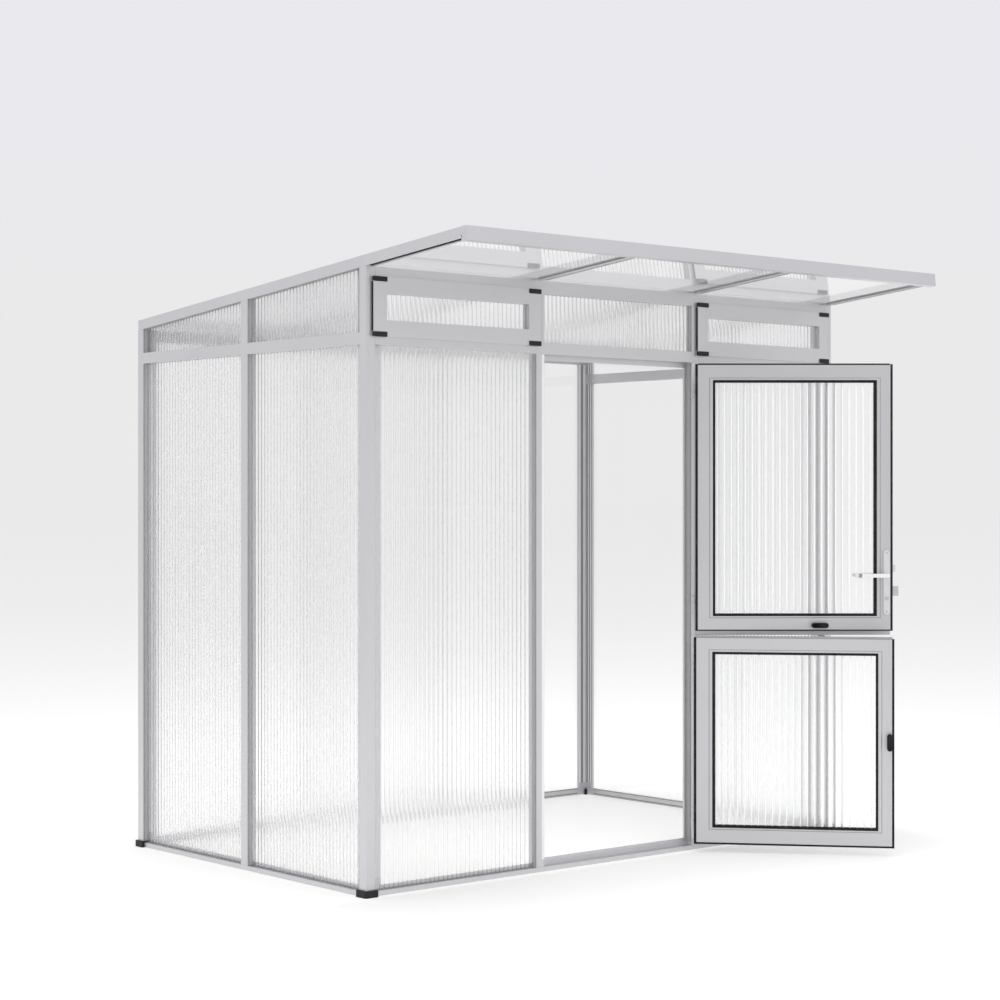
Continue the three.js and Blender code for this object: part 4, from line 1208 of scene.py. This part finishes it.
class GREENHOUSE_OT_lock_plates(bpy.types.Operator):
    """Makes the satin covers of the lock's long plates, with cylinder, rose and screws"""

    bl_idname = "greenhouse.lock_plates"
    bl_label = "Long plates"

    def execute(self, context):
        middle, level = lever_axis()
        low, high = flat_box("upper_leaf_frame", UPPER_LEAF)
        outline = self.stadium(middle, level - 0.159, level + 0.103, 0.0132)
        plates, fittings, slots = (Blank(UPPER_LEAF) for i in range(3))
        for face, out in ((high[2], 1), (low[2], -1)):
            plates.moulded(outline, face - out * 0.0078, face + out * 0.0004, 0.0014)
            for drop, profile in PLATE_FITTINGS:
                profile = [(radius, face + out * rise) for radius, rise in profile]
                fittings.turned((middle, level - drop), profile)
            for drop, wide, tall, start, end in PLATE_SLOTS:
                corners = rectangle((middle - wide, level - drop - tall), (middle + wide, level - drop + tall))
                slots.moulded(corners, face + out * start, face + out * end, 0.0001)
        plates.done("lock_plate_covers", "upper_leaf", "satin_metal", "plate_nickel")
        fittings.done("lock_plate_fittings", "upper_leaf", "satin_metal", "plated_steel")
        slots.done("lock_plate_slots", "upper_leaf", "black_plastic", "line_shade")
        return {"FINISHED"}

    def stadium(self, middle, low, high, half):
        """An upright strip's outline with round ends."""
        ends = []
        for level, start in ((low + half, math.pi), (high - half, 0)):
            turns = [start + math.pi * i / 16 for i in range(17)]
            ends += [(middle + half * math.cos(a), level + half * math.sin(a)) for a in turns]
        return ends


class GREENHOUSE_OT_turn_knobs(bpy.types.Operator):
    """Makes the grips of the two black turn knobs and finishes the knobs"""

    bl_idname = "greenhouse.turn_knobs"
    bl_label = "Turn knobs"

    def execute(self, context):
        for name, (plane, _, _) in LEAVES.items():
            self.grip(f"{name}_turn_knob", plane, f"{name}_knob")
            finish_nodes([f"{name}_turn_knob"], "moulded_black")
        return {"FINISHED"}

    def grip(self, node, plane, body):
        places = flat_places(node, plane)
        top = max(p[2] for p in places)
        bar = [p for p in places if p[2] > top - NEAR]
        low, high = (Vector([pick(p[i] for p in bar) for i in (0, 1)]) for pick in (min, max))
        blank = Blank(plane)
        outline = rounded_outline(rectangle(low, high), min(high - low) / 2 - 0.0001, 8)
        blank.moulded(outline, top - 0.009, top, 0.003, turns=4)
        blank.turned((low + high) / 2, [
            (0.0066, 0.0283), (0.0066, 0.0300), (0.0062, 0.0312), (0.0056, 0.0330), (0.0052, top - 0.0095),
            (0.0070, top - 0.0080)])
        blank.done(f"{node}_grip", body, "black_plastic", "moulded_black")


class GREENHOUSE_OT_bolts(bpy.types.Operator):
    """Finishes the latch bolt and the dead bolt"""

    bl_idname = "greenhouse.bolts"
    bl_label = "Bolts"

    def execute(self, context):
        finish_nodes(["latch_bolt"], "plate_nickel")
        finish_nodes(["dead_bolt"], "plated_steel")
        return {"FINISHED"}


class GREENHOUSE_OT_stage(bpy.types.Operator):
    """Sets up the floor, the soft light and the camera"""

    bl_idname = "greenhouse.stage"
    bl_label = "Stage"

    def execute(self, context):
        stage = context.scene.greenhouse_stage
        self.floor(stage)
        context.scene.world = studio_light(stage.sky, stage.surround)
        self.lamp(context.scene, stage.overhead)
        self.camera(context.scene)
        context.scene.view_settings.view_transform = "Standard"
        for kind, bounces in BOUNCES.items():
            setattr(context.scene.cycles, kind, bounces)
        return {"FINISHED"}

    def floor(self, stage):
        mesh = bmesh.new()
        bmesh.ops.create_circle(mesh, cap_ends=True, radius=400, segments=96)
        data = bpy.data.meshes.new("studio_floor")
        mesh.to_mesh(data)
        mesh.free()
        data.materials.append(paper("studio_paper", stage.paper, stage.glow, stage.near_glow))
        made = bpy.data.objects.new("studio_floor", data)
        bpy.context.scene.collection.objects.link(made)

    def lamp(self, scene, power):
        data = bpy.data.lights.new("overhead", "AREA")
        data.shape = "DISK"
        data.size = 9.0
        data.energy = power
        made = bpy.data.objects.new("overhead", data)
        made.location = LAMP_PLACE
        made.rotation_euler = (-LAMP_PLACE).to_track_quat("-Z", "Y").to_euler()
        scene.collection.objects.link(made)

    def camera(self, scene):
        data = bpy.data.cameras.new("photo_view")
        data.lens = LENS
        data.sensor_width = 36
        data.clip_end = 500
        made = bpy.data.objects.new("photo_view", data)
        made.location = FRONT @ CAMERA_PLACE
        made.rotation_euler = CAMERA_TURN
        scene.collection.objects.link(made)
        scene.camera = made


STEPS = [
    GREENHOUSE_OT_finishes, GREENHOUSE_OT_bars, GREENHOUSE_OT_black_pieces, GREENHOUSE_OT_roof_glazing,
    GREENHOUSE_OT_wall_sheets, GREENHOUSE_OT_glazing_linings, GREENHOUSE_OT_channel_lines,
    GREENHOUSE_OT_end_caps, GREENHOUSE_OT_rafter_lines, GREENHOUSE_OT_vent_fittings,
    GREENHOUSE_OT_door_sheets, GREENHOUSE_OT_leaf_trim, GREENHOUSE_OT_lever, GREENHOUSE_OT_lock_plates,
    GREENHOUSE_OT_turn_knobs, GREENHOUSE_OT_bolts, GREENHOUSE_OT_stage,
]
GROUPS = {
    "greenhouse_bars": GreenhouseBars, "greenhouse_sheets": GreenhouseSheets,
    "greenhouse_seals": GreenhouseSeals, "greenhouse_fittings": GreenhouseFittings,
    "greenhouse_stage": GreenhouseStage,
}


class GREENHOUSE_PT_panel(bpy.types.Panel):
    """Lists the settings and the steps that dress the greenhouse"""

    bl_idname = "GREENHOUSE_PT_panel"
    bl_label = "Greenhouse"
    bl_space_type = "VIEW_3D"
    bl_region_type = "UI"
    bl_category = "Greenhouse"

    def draw(self, context):
        for group in GROUPS:
            box = self.layout.box()
            for name in getattr(context.scene, group).bl_rna.properties.keys():
                if name not in ("rna_type", "name"):
                    box.prop(getattr(context.scene, group), name)
        for step in STEPS:
            self.layout.operator(step.bl_idname)


def register():
    for group, kind in GROUPS.items():
        bpy.utils.register_class(kind)
        setattr(bpy.types.Scene, group, bpy.props.PointerProperty(type=kind))
    for step in STEPS:
        bpy.utils.register_class(step)
    bpy.utils.register_class(GREENHOUSE_PT_panel)


def unregister():
    bpy.utils.unregister_class(GREENHOUSE_PT_panel)
    for step in reversed(STEPS):
        bpy.utils.unregister_class(step)
    for group, kind in reversed(list(GROUPS.items())):
        delattr(bpy.types.Scene, group)
        bpy.utils.unregister_class(kind)


def main():
    register()
    for step in STEPS:
        getattr(bpy.ops.greenhouse, step.bl_idname.split(".")[1])()


if __name__ == "__main__":
    main()
